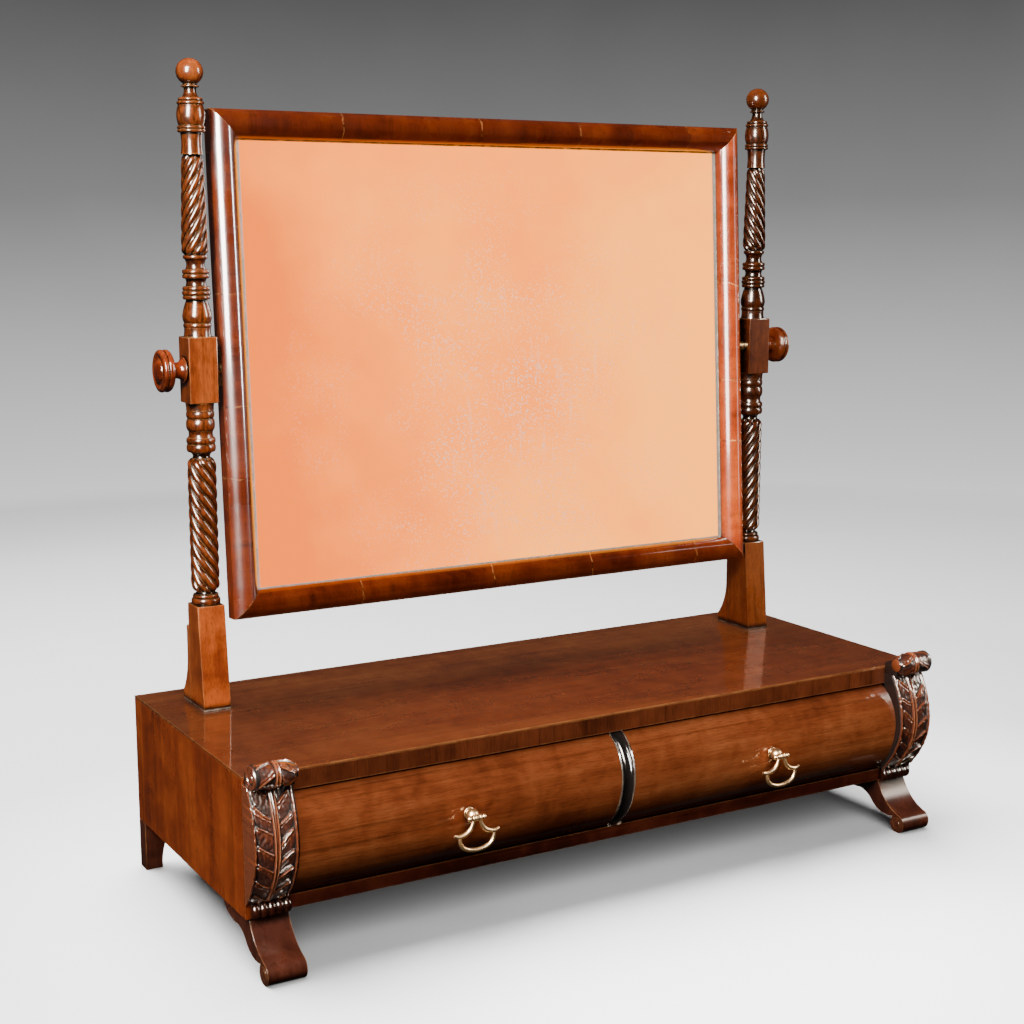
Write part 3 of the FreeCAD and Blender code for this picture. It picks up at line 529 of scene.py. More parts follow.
def silvered_plate(name):
    made = Finish(name)
    rim, foxing = lost_rim(made), foxed(made)
    colour = made.mix(foxing, tone(252, 246, 240), tone(246, 226, 200))
    lost = made.sums("MAXIMUM", made.times(foxing, 0.8), made.times(rim, 0.9))
    return made.done({
        "Base Color": made.mix(rim, colour, tone(150, 150, 134)),
        "Roughness": made.plus(made.times(foxing, 0.5), 0.025),
        "Normal": made.bump(made.clouds(6, 1), 0.05, 1 * mm), "Metallic": made.minus(1, lost)})


silver = silvered_plate("silvered_plate")
print("plate", tuple(plate_high - plate_low))

# %% [markdown]
# The boards of the case come first. They keep the shape of their solids, so each is an eased copy with its
# own finish. Show wood gets a round of up to a millimetre, and hidden softwood is left nearly as it was
# sawn.

# %% Boards of the case
def ease_boards(body, finish, slot, arris, *nodes):
    for node in nodes:
        place(node + "_worked", eased(node, arris), finish, body, slot, node)


ease_boards("case", top_wood, "polished_mahogany", 0.2 * mm, "top_veneer")
ease_boards("case", band_wood, "cross_banding", 0.6 * mm, "fascia_banding")
ease_boards("case", rail_wood, "polished_mahogany", 0.8 * mm, "bottom_front_rail")
ease_boards("case", side_wood, "polished_mahogany", 0.8 * mm, "left_side_panel", "right_side_panel")
ease_boards("case", stained_pine, "carcase_pine", 0.4 * mm, "back_board", "bottom_board")
ease_boards("case", pine_wood, "carcase_pine", 0.4 * mm, "top_board", "centre_partition", "drawer_guides",
            "drawer_stops")
ease_boards("case", foot_wood, "carved_mahogany", 0.9 * mm, "left_back_foot", "right_back_foot")
ease_boards("case", post_wood, "turned_mahogany", 0.8 * mm, "left_post_bracket", "right_post_bracket")

# %% [markdown]
# Each drawer is a bowed front with an oak lining: two sides, a back and a bottom. The linings were never
# polished, so they stay dry and pale. The front's arris is small, because the veneer runs right to the
# edge.

# %% Drawers
for side in sides:
    body = side + "_drawer"
    ease_boards(body, drawer_wood, "polished_mahogany", 0.5 * mm, body + "_front")
    ease_boards(body, oak_wood, "drawer_lining", 0.6 * mm, body + "_left_side", body + "_right_side")
    ease_boards(body, oak_bottom, "drawer_lining", 0.4 * mm, body + "_back", body + "_bottom")

# %% [markdown]
# The mirror frame is four mitred lengths of cushion moulding, veneered across the grain. The rails and the
# stiles need the grain in different directions, so they take two finishes. The backboard is stained pine.

# %% Mirror frame
ease_boards("mirror", rail_veneer, "frame_veneer", 0.5 * mm, "frame_top_rail", "frame_bottom_rail")
ease_boards("mirror", stile_veneer, "frame_veneer", 0.5 * mm, "frame_left_stile", "frame_right_stile")
ease_boards("mirror", stained_pine, "carcase_pine", 0.5 * mm, "mirror_backboard")
ease_boards("mirror", pine_wood, "carcase_pine", 0.3 * mm, "glazing_blocks")

# %% [markdown]
# Small metal parts already have the right shape in the solids, so they stay and only take a finish, and so
# does the plate.

# %% Finishes for solids that stay
stays = {"mirror_glass": silver, "post_screws": iron, "backboard_nails": iron}
for side in sides:
    stays.update({side + "_knob_screw": iron, side + "_nut_plate": brass, side + "_handle_nut": brass})
for node, finish in stays.items():
    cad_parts[node].data.materials[0] = finish
print("finished in place:", ", ".join(stays))

# %% [markdown]
# Turning is a half outline spun round an axis. The outline is a stack of mouldings from the bottom up, in
# shares of the stack's height and of the turning's radius: a bead is half an ellipse on a root, a sweep is
# a curve through a middle radius, which makes necks, coves and vases, and a dome or ball closes the end.

# %% Turning
ring_steps = 56
arc_steps = 8
ball_neck = 0.16
turned_crisp = 40


def moulding_point(kind, radii, t):
    """The share of the radius and of the moulding's length at a share of the way along it."""
    if kind == "bead":
        root, crest = radii
        return root + (crest - root) * math.sin(math.pi * t), (1 - math.cos(math.pi * t)) / 2
    if kind == "sweep":
        low, middle, high = radii
        return low * (1 - t) * (1 - 2 * t) + 4 * middle * t * (1 - t) + high * t * (2 * t - 1), t
    if kind == "dome":
        return radii[0] * math.cos(math.pi / 2 * t), math.sin(math.pi / 2 * t)
    angle = math.pi * (ball_neck + (1 - ball_neck) * t)
    return radii[0] * math.sin(angle), (1 - math.cos(angle)) / 2


def moulding_line(rows, level, height, radius):
    """The half outline of a stack of mouldings, as points of (radius, height)."""
    line = []
    for kind, length, *radii in rows:
        for step in range(arc_steps + 1):
            share, up = moulding_point(kind, radii, step / arc_steps)
            line.append((share * radius, level + up * length * height))
        level += length * height
    return line


def to_axis(line):
    """An outline with its ends brought in to the axis."""
    return [(0, line[0][1])] + line + [(0, line[-1][1])]


def spun(line, to_space, centre, axis, steps, full=True):
    """A line spun once about an axis, or by half a turn."""
    bm = bmesh.new()
    points = [bm.verts.new(to_space(*point)) for point in line]
    edges = [bm.edges.new(pair) for pair in zip(points, points[1:])]
    bmesh.ops.spin(bm, geom=points + edges, cent=centre, axis=axis, dvec=(0, 0, 0), steps=steps,
                   angle=2 * math.pi if full else math.pi, use_merge=full, use_normal_flip=False,
                   use_duplicate=False)
    bmesh.ops.remove_doubles(bm, verts=bm.verts, dist=same_point)
    return bm


def turned(line, to_space, centre, axis, steps=ring_steps, full=True, degrees=turned_crisp):
    """A half outline spun about an axis and closed at both ends."""
    bm = spun(line, to_space, centre, axis, steps, full)
    close(bm)
    crisp_above(bm, degrees)
    return bm


print("turning in", ring_steps, "steps round and", arc_steps, "along each moulding")

# %% [markdown]
# The posts are the most skilled work on the piece. Each has two columns of spiral reeds, cut after turning,
# with the hand reversed between them. A column starts as one ring with a lobe for each reed. The ring is
# extruded upward again and again, and every step turns it a little further, as the cutter's path does. The
# shoulders round in at both ends.

# %% Spiral reeds
reeds = 7
reed_points = 14
reed_depth = 0.27
spiral_lead = 82 * mm
spiral_step = 2.4 * mm
shoulder = 7 * mm
shoulder_share = 0.74


def reeded_column(axis, low, high, foot, head, hand):
    """A column of spiral reeds between two heights, with a radius at foot and head."""
    bm = bmesh.new()
    bmesh.ops.create_circle(bm, cap_ends=False, segments=reeds * reed_points, radius=1)
    for vert in bm.verts:
        lobe = math.sqrt(abs(math.cos(reeds / 2 * math.atan2(vert.co.y, vert.co.x))))
        vert.co *= 1 - reed_depth * (1 - lobe)
    steps = round((high - low) / spiral_step)
    rise = (high - low) / steps

    def radius_at(level):
        inside = min(1, min(level, high - low - level) / shoulder)
        rounded = shoulder_share + (1 - shoulder_share) * math.sqrt(1 - (1 - inside) ** 2)
        return (foot + (head - foot) * level / (high - low)) * rounded

    ring, radius = bm.edges[:], radius_at(0)
    bmesh.ops.scale(bm, vec=(radius, radius, 1), verts=bm.verts)
    twist = Matrix.Rotation(hand * 2 * math.pi * rise / spiral_lead, 3, "Z")
    for step in range(steps):
        made = bmesh.ops.extrude_edge_only(bm, edges=ring)["geom"]
        points = [item for item in made if isinstance(item, bmesh.types.BMVert)]
        new = set(points)
        ring = [item for item in made if isinstance(item, bmesh.types.BMEdge) and set(item.verts) <= new]
        wider = radius_at((step + 1) * rise) / radius
        radius *= wider
        bmesh.ops.rotate(bm, cent=(0, 0, 0), matrix=twist, verts=points)
        bmesh.ops.scale(bm, vec=(wider, wider, 1), verts=points)
        bmesh.ops.translate(bm, vec=(0, 0, rise), verts=points)
    close(bm)
    bmesh.ops.translate(bm, vec=(axis.x, axis.y, low), verts=bm.verts)
    crisp_above(bm, turned_crisp)
    return bm


print("columns of", reeds, "reeds")

# %% [markdown]
# A post is one length of timber, so its parts join in one mesh: a square plinth that leans back at its
# front, base rings, the lower column, a necking, the square block that takes the pivot, collars, the upper
# column and a ball finial. The shares below were measured from the object, as shares of the post's height
# and of its half width. The "turned" mark sets the flecks and the painted shade of the finish; it is low on
# the flat stretches and on the ball.

# %% Posts
post_low, post_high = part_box("left_post")
post_height = post_high.z - post_low.z
half_block = (post_high.x - post_low.x) / 2
post_axis = Vector(((post_low.x + post_high.x) / 2, post_high.y - half_block, 0))
post_arris = 0.9 * mm
plinth_inset = 0.3 * mm
ball_share = 0.285
stage_shares = {"plinth": 0.165, "base": 0.0209, "lower": 0.2108, "necking": 0.0865, "block": 0.1017,
                "collar": 0.1236, "upper": 0.15, "finial": 0.1415}
stage_mouldings = {
    "base": (("bead", 0.5, 0.9, 0.985), ("bead", 0.3, 0.8, 0.88), ("sweep", 0.2, 0.72, 0.64, 0.62)),
    "necking": (("sweep", 0.118, 0.64, 0.585, 0.8), ("bead", 0.145, 0.88, 0.98), ("bead", 0.112, 0.88, 0.98),
                ("sweep", 0.124, 0.86, 0.8, 0.84), ("bead", 0.223, 0.82, 0.965), ("bead", 0.137, 0.84, 0.945),
                ("sweep", 0.141, 0.92, 0.925, 0.97)),
    "collar": (("sweep", 0.112, 0.93, 0.88, 0.88), ("bead", 0.053, 0.86, 0.93),
               ("sweep", 0.095, 0.86, 0.95, 0.97), ("sweep", 0.197, 0.97, 0.86, 0.68),
               ("bead", 0.052, 0.82, 0.91), ("bead", 0.056, 0.84, 0.94), ("bead", 0.052, 0.82, 0.91),
               ("sweep", 0.098, 0.71, 0.64, 0.71), ("bead", 0.055, 0.8, 0.895), ("bead", 0.055, 0.8, 0.895),
               ("sweep", 0.129, 0.69, 0.6, 0.72), ("bead", 0.046, 0.75, 0.815)),
    "finial": (("sweep", 0.229, 0.72, 0.665, 0.72), ("bead", 0.034, 0.83, 0.91), ("bead", 0.034, 0.83, 0.91),
               ("sweep", 0.219, 0.8, 0.93, 0.8), ("bead", 0.037, 0.8, 0.89), ("bead", 0.035, 0.72, 0.8),
               ("sweep", 0.109, 0.58, 0.41, 0.42), ("bead", 0.018, 0.5, 0.59), ("ball", ball_share, 0.895)),
}
column_radii = {"lower": (0.977, 0.977, -1), "upper": (0.925, 0.72, 1)}
flat_marks = {"plinth": 0.1, "block": 0.5}
ball_mark = 0.5


def squared(low, high, arris, front_foot=0.0):
    """A square stretch of wood; its front can stand further out at the foot."""
    bm = bmesh.new()
    bmesh.ops.create_cube(bm, size=1)
    bmesh.ops.scale(bm, vec=high - low, verts=bm.verts)
    middle = (low + high) / 2
    bmesh.ops.translate(bm, vec=middle, verts=bm.verts)
    toe = [vert for vert in bm.verts if vert.co.y < middle.y and vert.co.z < middle.z]
    bmesh.ops.translate(bm, vec=(0, -front_foot, 0), verts=toe)
    ease(bm, bm.edges[:], arris)
    return bm


def post_stage(stage, level, height):
    """One stretch of the left post, from a level up."""
    if stage in column_radii:
        foot, head, hand = column_radii[stage]
        return reeded_column(post_axis, level, level + height, foot * half_block, head * half_block, hand)
    if stage in stage_mouldings:
        line = to_axis(moulding_line(stage_mouldings[stage], level, height, half_block))
        return turned(line, lambda r, z: post_axis + Vector((r, 0, z)), post_axis, (0, 0, 1))
    plinth = stage == "plinth"
    half = Vector((half_block - plinth_inset if plinth else half_block, half_block, 0))
    low, high = post_axis - half, post_axis + half
    low.z, high.z = level, level + height
    return squared(low, high, post_arris, low.y - post_low.y if plinth else 0.0)


def left_post():
    bm = bmesh.new()
    turned_mark = bm.verts.layers.float.new("turned")
    ball_from = post_high.z - ball_share * stage_shares["finial"] * post_height
    level = post_low.z
    for stage, share in stage_shares.items():
        first = len(bm.verts)
        join(bm, post_stage(stage, level, share * post_height))
        bm.verts.ensure_lookup_table()
        for vert in bm.verts[first:]:
            vert[turned_mark] = flat_marks.get(stage, ball_mark if vert.co.z > ball_from else 1.0)
        level += share * post_height
    return bm


place_pair(left_post, "_post_turning", post_wood, "turned_mahogany", "_post")

# %% [markdown]
# The pivot knobs are turned too, on an axis across the piece: a flared collar against the block, a thin
# neck, two rims with a groove between them, and a dished face round a small dome.

# %% Knobs
knob_low, knob_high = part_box("left_knob")
knob_radius = (knob_high.z - knob_low.z) / 2
knob_seat = Vector((knob_high.x, (knob_low.y + knob_high.y) / 2, (knob_low.z + knob_high.z) / 2))
knob_steps = 72
knob_rows = (("sweep", 0.07, 0.57, 0.61, 0.58), ("sweep", 0.25, 0.52, 0.4, 0.38),
             ("sweep", 0.1, 0.38, 0.385, 0.42), ("sweep", 0.14, 0.5, 0.84, 0.955),
             ("bead", 0.145, 0.955, 1.0), ("sweep", 0.035, 0.94, 0.91, 0.94), ("bead", 0.13, 0.955, 1.0),
             ("sweep", 0.035, 0.945, 0.91, 0.83), ("sweep", -0.055, 0.83, 0.72, 0.62),
             ("sweep", 0.015, 0.62, 0.58, 0.53), ("dome", 0.135, 0.53))


def left_knob():
    line = [(0, 0)] + moulding_line(knob_rows, 0, knob_high.x - knob_low.x, knob_radius)
    return turned(line, lambda r, along: knob_seat + Vector((-along, 0, r)), knob_seat, (1, 0, 0), knob_steps)


place_pair(left_knob, "_knob_turning", knob_wood, "turned_mahogany", "_knob", "_knob")

# %% [markdown]
# The corner pilasters are carved as an acanthus leaf laid over a bowed block. A fine grid is bent to the
# block's front, and each point is pushed in by the depth of the cut there: raised borders, a double midrib,
# and leaflets that rise outward from it, each split by a vein. The grid's rim is then drawn back to the
# case and closed. A formula suits this better than hand modelling, because every leaflet is the same stroke
# of the same gouge. A little noise keeps them from being alike, as hand work is.

# %% Carved leaf
# Borders and veins are given as (centre, half width).
leaflets = 6.6
leaflet_slant = 1.0
leaflet_gap = 0.05
leaflet_end = 0.96
outer_border, inner_border = (0.97, 0.08), (0.87, 0.06)
outer_border_height, inner_border_height = 0.84, 0.86
outer_tip, inner_tip, tip_round = 0.91, 0.83, 0.12
main_vein, side_vein = (0.87, 0.09), (0.64, 0.07)
rib_foot, rib_spread, rib_half = 0.045, 0.075, 0.045
midline_half, midline_height = 0.05, 0.7
blade_foot, blade_rise, vein_height, chip_height = 0.22, 0.4, 0.34, 0.16


def grid(across, along):
    """A flat sheet from -1 to 1 both ways, to be bent."""
    bm = bmesh.new()
    bmesh.ops.create_grid(bm, x_segments=across, y_segments=along, size=1)
    return bm


def swell(value, centre, half):
    """A rounded ridge of height 1 at a centre, and 0 beyond its half width."""
    off = (value - centre) / half
    return math.sqrt(max(0.0, 1 - off * off))


def leaf_relief(across, along):
    """Height of the carving, 0 in the deepest cut and 1 on the ridges; across runs from -1, outside, to 1."""
    off, inner = abs(across), across > 0
    drift = noise.noise(Vector((3 * inner, along * 7, 0)))
    chip = noise.noise(Vector((across * 8, along * 26, 4)))
    border = max(outer_border_height * swell(-across, *outer_border),
                 inner_border_height * swell(across, *inner_border))
    spread = rib_foot + rib_spread * along
    rib = max(swell(off, spread, rib_half), midline_height * swell(off, 0.0, midline_half))
    phase = along * leaflets - leaflet_slant * off + 0.2 * drift + 0.4 * inner
    part = phase - math.floor(phase)
    root = spread + leaflet_gap
    tip = (inner_tip if inner else outer_tip) - tip_round * abs(2 * part - 1) ** 2
    blade = 0.0
    if root < off < tip and part < leaflet_end:
        taper = min(1, (off - root) / 0.05, (tip - off) / 0.06, (leaflet_end - part) / 0.05)
        veins = max(swell(part, *main_vein), (0.45 + 0.6 * drift) * swell(part, *side_vein))
        blade = taper * (blade_foot + blade_rise * part ** 1.2 + vein_height * veins + chip_height * chip)
    return min(1.0, max(0.05 + 0.05 * chip, border * (0.92 + 0.25 * chip), rib, blade))


def close_to_plane(bm, y):
    """Draws a sheet's rim back to a plane and closes it there."""
    for vert in extrude_rim(bm):
        vert.co.y = y
    close(bm)


print("a leaf of", leaflets, "leaflets a side")

# %% [markdown]
# A pilaster is fullest at its belly and falls away above and below. The leaf is cut into that bow.

# %% Pilasters
pilaster_low, pilaster_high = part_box("left_pilaster")
pilaster_size = pilaster_high - pilaster_low
pilaster_grid = (92, 264)
pilaster_top, pilaster_foot, pilaster_belly = 0.423, 0.1, 0.503
pilaster_curve = 1.9
pilaster_depth = 3.6 * mm
pilaster_least = 0.5 * mm


def pilaster_bow(along):
    """How far the pilaster stands out of the case at a share of its height."""
    if along > pilaster_belly:
        fall = (along - pilaster_belly) / (1 - pilaster_belly)
        return pilaster_size.y * (1 - (1 - pilaster_top) * fall ** 2)
    rise = along / pilaster_belly
    return pilaster_size.y * (pilaster_foot + (1 - pilaster_foot) * (1 - (1 - rise) ** pilaster_curve))


def left_pilaster():
    bm = grid(*pilaster_grid)
    relief = bm.verts.layers.float.new("relief")
    for vert in bm.verts:
        across, along = vert.co.x, (vert.co.y + 1) / 2
        vert[relief] = leaf_relief(across, along)
        out = pilaster_bow(along) - pilaster_depth * (1 - vert[relief])
        vert.co = (pilaster_low.x + (across + 1) / 2 * pilaster_size.x,
                   pilaster_high.y - max(out, pilaster_least), pilaster_low.z + along * pilaster_size.z)
    close_to_plane(bm, pilaster_high.y)
    crisp_above(bm, degrees=55)
    return bm


place_pair(left_pilaster, "_pilaster_leaf", carving, "carved_mahogany", "_pilaster")

# %% [markdown]
# Above each pilaster the leaf's tip rolls forward in a scroll. The same leaf carries on round the roll, so
# this is the same grid again, wrapped into a drum that rounds off towards the drawers. Its outer end shows
# the coil: a disc with a groove that winds in to the eye. A wedge of wood behind the roll joins it to the
# case.

# %% Scrolls
scroll_low, scroll_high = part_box("left_scroll")
scroll_radius = 11 * mm
scroll_axis = Vector((0, scroll_low.y + scroll_radius, scroll_high.z - scroll_radius))
scroll_middle = (scroll_low.x + scroll_high.x) / 2
scroll_half = (scroll_high.x - scroll_low.x) / 2
scroll_grid, volute_grid = (72, 132), (64, 24)
leaf_across, leaf_along = 0.86, 0.66
rim_from = 0.94
taper_from, taper_share, taper_power = 0.25, 0.42, 2.4
scroll_relief = 2.4 * mm
scroll_end = 1.2 * mm
scroll_ease = 0.9 * mm
volute_depth = 1.6 * mm
volute_reach = 0.95
coil_eye, coil_growth, coil_half, coil_begins = 0.24, 0.5, 0.09, 0.2
rim_groove_half = 0.1
disc_mark, groove_mark = 0.66, 0.06
root_inset = 1 * mm
root_arris = 0.8 * mm
root_rise = 0.6 * scroll_radius


def round_scroll(x, radius, angle):
    """A point round the scroll's axis."""
    return x, scroll_axis.y + radius * math.cos(angle), scroll_axis.z + radius * math.sin(angle)


def carved_drum():
    bm = grid(*scroll_grid)
    relief = bm.verts.layers.float.new("relief")
    for vert in bm.verts:
        across, along = vert.co.x, (vert.co.y + 1) / 2
        vert[relief] = leaf_relief(across * leaf_across, along * leaf_along)
        end = scroll_ease * max(0.0, (abs(across) - rim_from) / (1 - rim_from)) ** 2
        inner = 1 - taper_share * max(0.0, (across - taper_from) / (1 - taper_from)) ** taper_power
        radius = (scroll_radius - scroll_relief * (1 - vert[relief]) - end) * inner
        x = scroll_middle + across * scroll_half + scroll_end * (1 - across) / 2
        vert.co = round_scroll(x, radius, 2 * math.pi * along)
    bmesh.ops.remove_doubles(bm, verts=bm.verts, dist=10 * same_point)
    close(bm)
    return bm


def volute():
    """The scroll's outer end: a disc with a groove that winds in to the eye."""
    bm = grid(*volute_grid)
    relief = bm.verts.layers.float.new("relief")
    for vert in bm.verts:
        turn, out = (vert.co.x + 1) / 2, (vert.co.y + 1) / 2 * volute_reach
        coil = swell(out, coil_eye + coil_growth * turn, coil_half) * min(1, turn * 6, (1 - turn) * 4)
        cut = max(coil, swell(out, volute_reach, rim_groove_half))
        vert[relief] = disc_mark - (disc_mark - groove_mark) * cut
        x = scroll_low.x + volute_depth * cut
        vert.co = round_scroll(x, out * scroll_radius, 2 * math.pi * (turn + coil_begins))
    bmesh.ops.remove_doubles(bm, verts=bm.verts, dist=10 * same_point)
    bmesh.ops.translate(bm, vec=(2 * scroll_end, 0, 0), verts=extrude_rim(bm))
    close(bm)
    return bm


def scroll_root():
    """The wedge behind the roll."""
    low = Vector((scroll_low.x + root_inset, scroll_axis.y, scroll_low.z))
    high = Vector((scroll_high.x - root_inset, scroll_high.y, scroll_axis.z + root_rise))
    bm = squared(low, high, root_arris)
    for vert in bm.verts:
        if vert.co.z > scroll_axis.z:
            vert.co.z -= root_rise * (vert.co.y - low.y) / (high.y - low.y)
    return bm


def left_scroll():
    bm = carved_drum()
    join(bm, volute())
    join(bm, scroll_root())
    crisp_above(bm, degrees=50)
    return bm


place_pair(left_scroll, "_scroll_leaf", carving, "carved_mahogany", "_scroll")

# %% [markdown]
# Under each pilaster lies half a turned roll with five beads. Half a turn of the spin makes it, and its
# flat back is closed against the case.

# %% Beaded rolls
roll_low, roll_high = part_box("left_reeded_roll")
roll_radius = (roll_high.z - roll_low.z) / 2
roll_axis = Vector((roll_low.x, roll_high.y, (roll_low.z + roll_high.z) / 2))
roll_beads = 5
roll_root = 0.62
roll_steps = 28
roll_rows = (("bead", 1 / roll_beads, roll_root, 1.0),) * roll_beads


def left_roll():
    line = to_axis(moulding_line(roll_rows, 0, roll_high.x - roll_low.x, roll_radius))
    return turned(line, lambda r, along: roll_axis + Vector((along, 0, r)), roll_axis, (1, 0, 0),
                  roll_steps, full=False, degrees=35)


place_pair(left_roll, "_beaded_roll", bead_wood, "carved_mahogany", "_reeded_roll")

# %% [markdown]
# The front feet sweep forward like a sabre and end in a rolled toe. The solid already has the sweep, so it
# is eased, and a small turned eye is set into each side of the toe, where the end grain of the roll shows.

# %% Front feet
toe_radius = 9 * mm
toe_drop_share = 0.96
foot_arris = 0.9 * mm
eye_height = 0.9 * mm
eye_sunk = 0.5 * mm
eye_rim = 0.66
eye_steps = 32
eye_rows = (("sweep", 0.3, eye_rim, eye_rim, 0.6), ("sweep", -0.5, 0.56, 0.5, 0.4), ("dome", 0.9, 0.4))
eye_outline = [(0, -eye_sunk), (eye_rim * toe_radius, -eye_sunk)]
eye_outline += moulding_line(eye_rows, 0, eye_height, toe_radius)
for side in sides:
    node = side + "_front_foot"
    foot = eased(node, foot_arris)
    low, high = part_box(node)
    for face_x, outward in ((low.x, -1), (high.x, 1)):
        seat = Vector((face_x, low.y + toe_radius, toe_drop_share * toe_radius))
        eye = turned(eye_outline, lambda r, along: seat + Vector((outward * along, 0, r)), seat, (1, 0, 0),
                     eye_steps, degrees=30)
        join(foot, eye)
    place(node + "_sabre", foot, foot_wood, "case", "carved_mahogany", node)

# %% [markdown]
# The moulding between the drawers is a half-round bead with a small fillet each side, bent over the same
# bow as the drawer fronts. A grid bent twice gives it: a half round across, and two arcs along.

# %% Centre moulding
bead_low, bead_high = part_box("centre_moulding")
bead_reach = bead_high.y - bead_low.y
bead_grid = (24, 64)
bulge_z = 107 * mm
bead_round = 4.6 * mm
fillet_share = 0.8
fillet_rise = 0.9 * mm
bead_least = 0.3 * mm


def bowed(reach, span, off):
    """How far a circular bow stands out at a distance from its fullest point."""
    radius = (span * span + reach * reach) / (2 * reach)
    return reach - radius + math.sqrt(radius * radius - off * off)


def black_bead():
    bm = grid(*bead_grid)
    for vert in bm.verts:
        across, along = vert.co.x, (vert.co.y + 1) / 2
        z = bead_low.z + along * (bead_high.z - bead_low.z)
        span = bead_high.z - bulge_z if z > bulge_z else bulge_z - bead_low.z
        out = bowed(bead_reach, span, abs(z - bulge_z))
        share = min(1.0, abs(across) / fillet_share)
        fall = bead_round * (1 - math.sqrt(1 - share * share)) - (fillet_rise if share == 1 else 0)
        vert.co = (across * bead_high.x, bead_high.y - max(out - fall, bead_least), z)
    close_to_plane(bm, bead_high.y)
    crisp_above(bm, degrees=40)
    return bm


place("centre_moulding_bead", black_bead(), ebony, "case", "ebonised_wood", "centre_moulding")

# %% [markdown]
# Each handle is cast and turned brass: a ball on a collar, a lug that carries a pin with a small ball on
# each end, and a stirrup-shaped bail.

# %% Handle balls and pins
ball_radius = 5.5 * mm
ball_stand = 7.2 * mm
ball_to_seat = 6 * mm
ball_start = 0.5 * mm
collar_height = 3 * mm
collar_sunk = 2 * mm
collar_crest = 0.92
collar_rows = (("bead", 0.35, 0.72, collar_crest), ("bead", 0.25, 0.55, 0.7), ("sweep", 0.4, 0.5, 0.42, 0.5))
pin_rows = (("bead", 0.244, 0.02, 1.0), ("sweep", 0.512, 0.545, 0.545, 0.545), ("bead", 0.244, 0.02, 1.0))
ring_radius = 2.6 * mm
ring_chamfer = 0.3 * mm
lug_half = 1.6 * mm
small_steps = 32
ball_steps = 40


def chamfered(inner, low, high):
    """Half the section of a flat ring with its rims taken off."""
    waist = ring_radius - ring_chamfer
    return [(inner, low), (waist, low), (ring_radius, low + ring_chamfer), (ring_radius, high - ring_chamfer),
            (waist, high), (inner, high)]


def spun_on_pin(line, pin, flip=1):
    """A small turning about a handle's pin."""
    return turned(line, lambda r, along: pin + Vector((flip * along, 0, r)), pin, (1, 0, 0), small_steps)


def handle_ball(pin):
    """The ball on its collar, with the lug for the pin."""
    seat = pin + Vector((0, ball_stand + ball_to_seat, 0))
    collar = [(0, -collar_sunk), (collar_crest * ball_radius, -collar_sunk)]
    collar += moulding_line(collar_rows, 0, collar_height, ball_radius) + [(0, collar_height)]
    ball = [(0, ball_start)] + moulding_line((("ball", 1, 1),), ball_start, 2 * ball_radius, ball_radius)
    bm = spun_on_pin(chamfered(0, -lug_half, lug_half), pin)
    for line in (collar, ball):
        join(bm, turned(line, lambda r, along: seat + Vector((0, -along, r)), seat, (0, 1, 0), ball_steps))
    crisp_above(bm, turned_crisp)
    return bm


pins = {}
for side in sides:
    body = side + "_drawer"
    low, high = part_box(side + "_bail_pin")
    pins[side] = pin = (low + high) / 2
    place(side + "_handle_ball", handle_ball(pin), brass, body, "aged_brass", side + "_handle_post")
    line = to_axis(moulding_line(pin_rows, low.x - pin.x, high.x - low.x, (high.z - low.z) / 2))
    place(side + "_handle_pin", spun_on_pin(line, pin), brass, body, "aged_brass", side + "_bail_pin")

# %% [markdown]
# A bail is two arms that start in small eyes on the pin, and a loop under them. They are rods that swell
# and taper, so they follow smooth NURBS splines with a radius at each point, made into meshes.

# %% Bails
arm_route = ((3.1, 1.2, 1.4), (4.2, 6.6, 1.75), (8.6, 11.9, 2.1), (15.6, 13.9, 1.9), (19.0, 13.2, 1.5),
             (21.0, 12.3, 1.4))
half_loop = ((16.2, 13.0, 1.35), (16.4, 19.4, 1.7), (11.4, 25.6, 1.9))
loop_foot = (0, 28.0, 1.8)
loop_route = (*((-across, drop, radius) for across, drop, radius in half_loop), loop_foot, *half_loop[::-1])
eye_bore = 1.25 * mm
eye_low, eye_high = 1.9 * mm, 4.3 * mm
eye_line = chamfered(eye_bore, eye_low, eye_high) + [(eye_bore, eye_low)]


def rod_along(route, start, flip=1):
    """A round rod on a smooth spline; each point is (across, drop, radius) in millimetres."""
    curve = bpy.data.curves.new("rod", "CURVE")
    curve.dimensions = "3D"
    curve.bevel_depth = mm
    curve.bevel_resolution = 4
    curve.resolution_u = 8
    curve.use_fill_caps = True
    spline = curve.splines.new("NURBS")
    spline.points.add(len(route) - 1)
    for point, (across, drop, radius) in zip(spline.points, route):
        point.co = (*(start + Vector((flip * across * mm, 0, -drop * mm))), 1)
        point.radius = radius
    spline.order_u = 3
    spline.use_endpoint_u = True
    holder = bpy.data.objects.new("rod", curve)
    mesh = bpy.data.meshes.new_from_object(holder)
    bm = bmesh.new()
    bm.from_mesh(mesh)
    bpy.data.objects.remove(holder)
    bpy.data.meshes.remove(mesh)
    bpy.data.curves.remove(curve)
    bmesh.ops.remove_doubles(bm, verts=bm.verts, dist=same_point)
    bmesh.ops.recalc_face_normals(bm, faces=bm.faces)
    return bm


for side, pin in pins.items():
    bail = rod_along(loop_route, pin)
    for flip in (-1, 1):
        join(bail, rod_along(arm_route, pin, flip))
        join(bail, spun_on_pin(eye_line, pin, flip))
    crisp_above(bail, degrees=45)
    place(side + "_bail_stirrup", bail, brass, side + "_bail", "aged_brass", side + "_bail")

# %% [markdown]
# The object stands on a pale sweep. It is spun from a floor line, a curve and a wall, so it looks the same
# from every side. Its colour is painted light: a pool, palest in front of the object, darker further off, and
# a glow that fades from pale low on the wall to grey above. It takes the light of its own lamps and glows a
# little, but it sends none back: the polish and the undersides would otherwise turn pale.

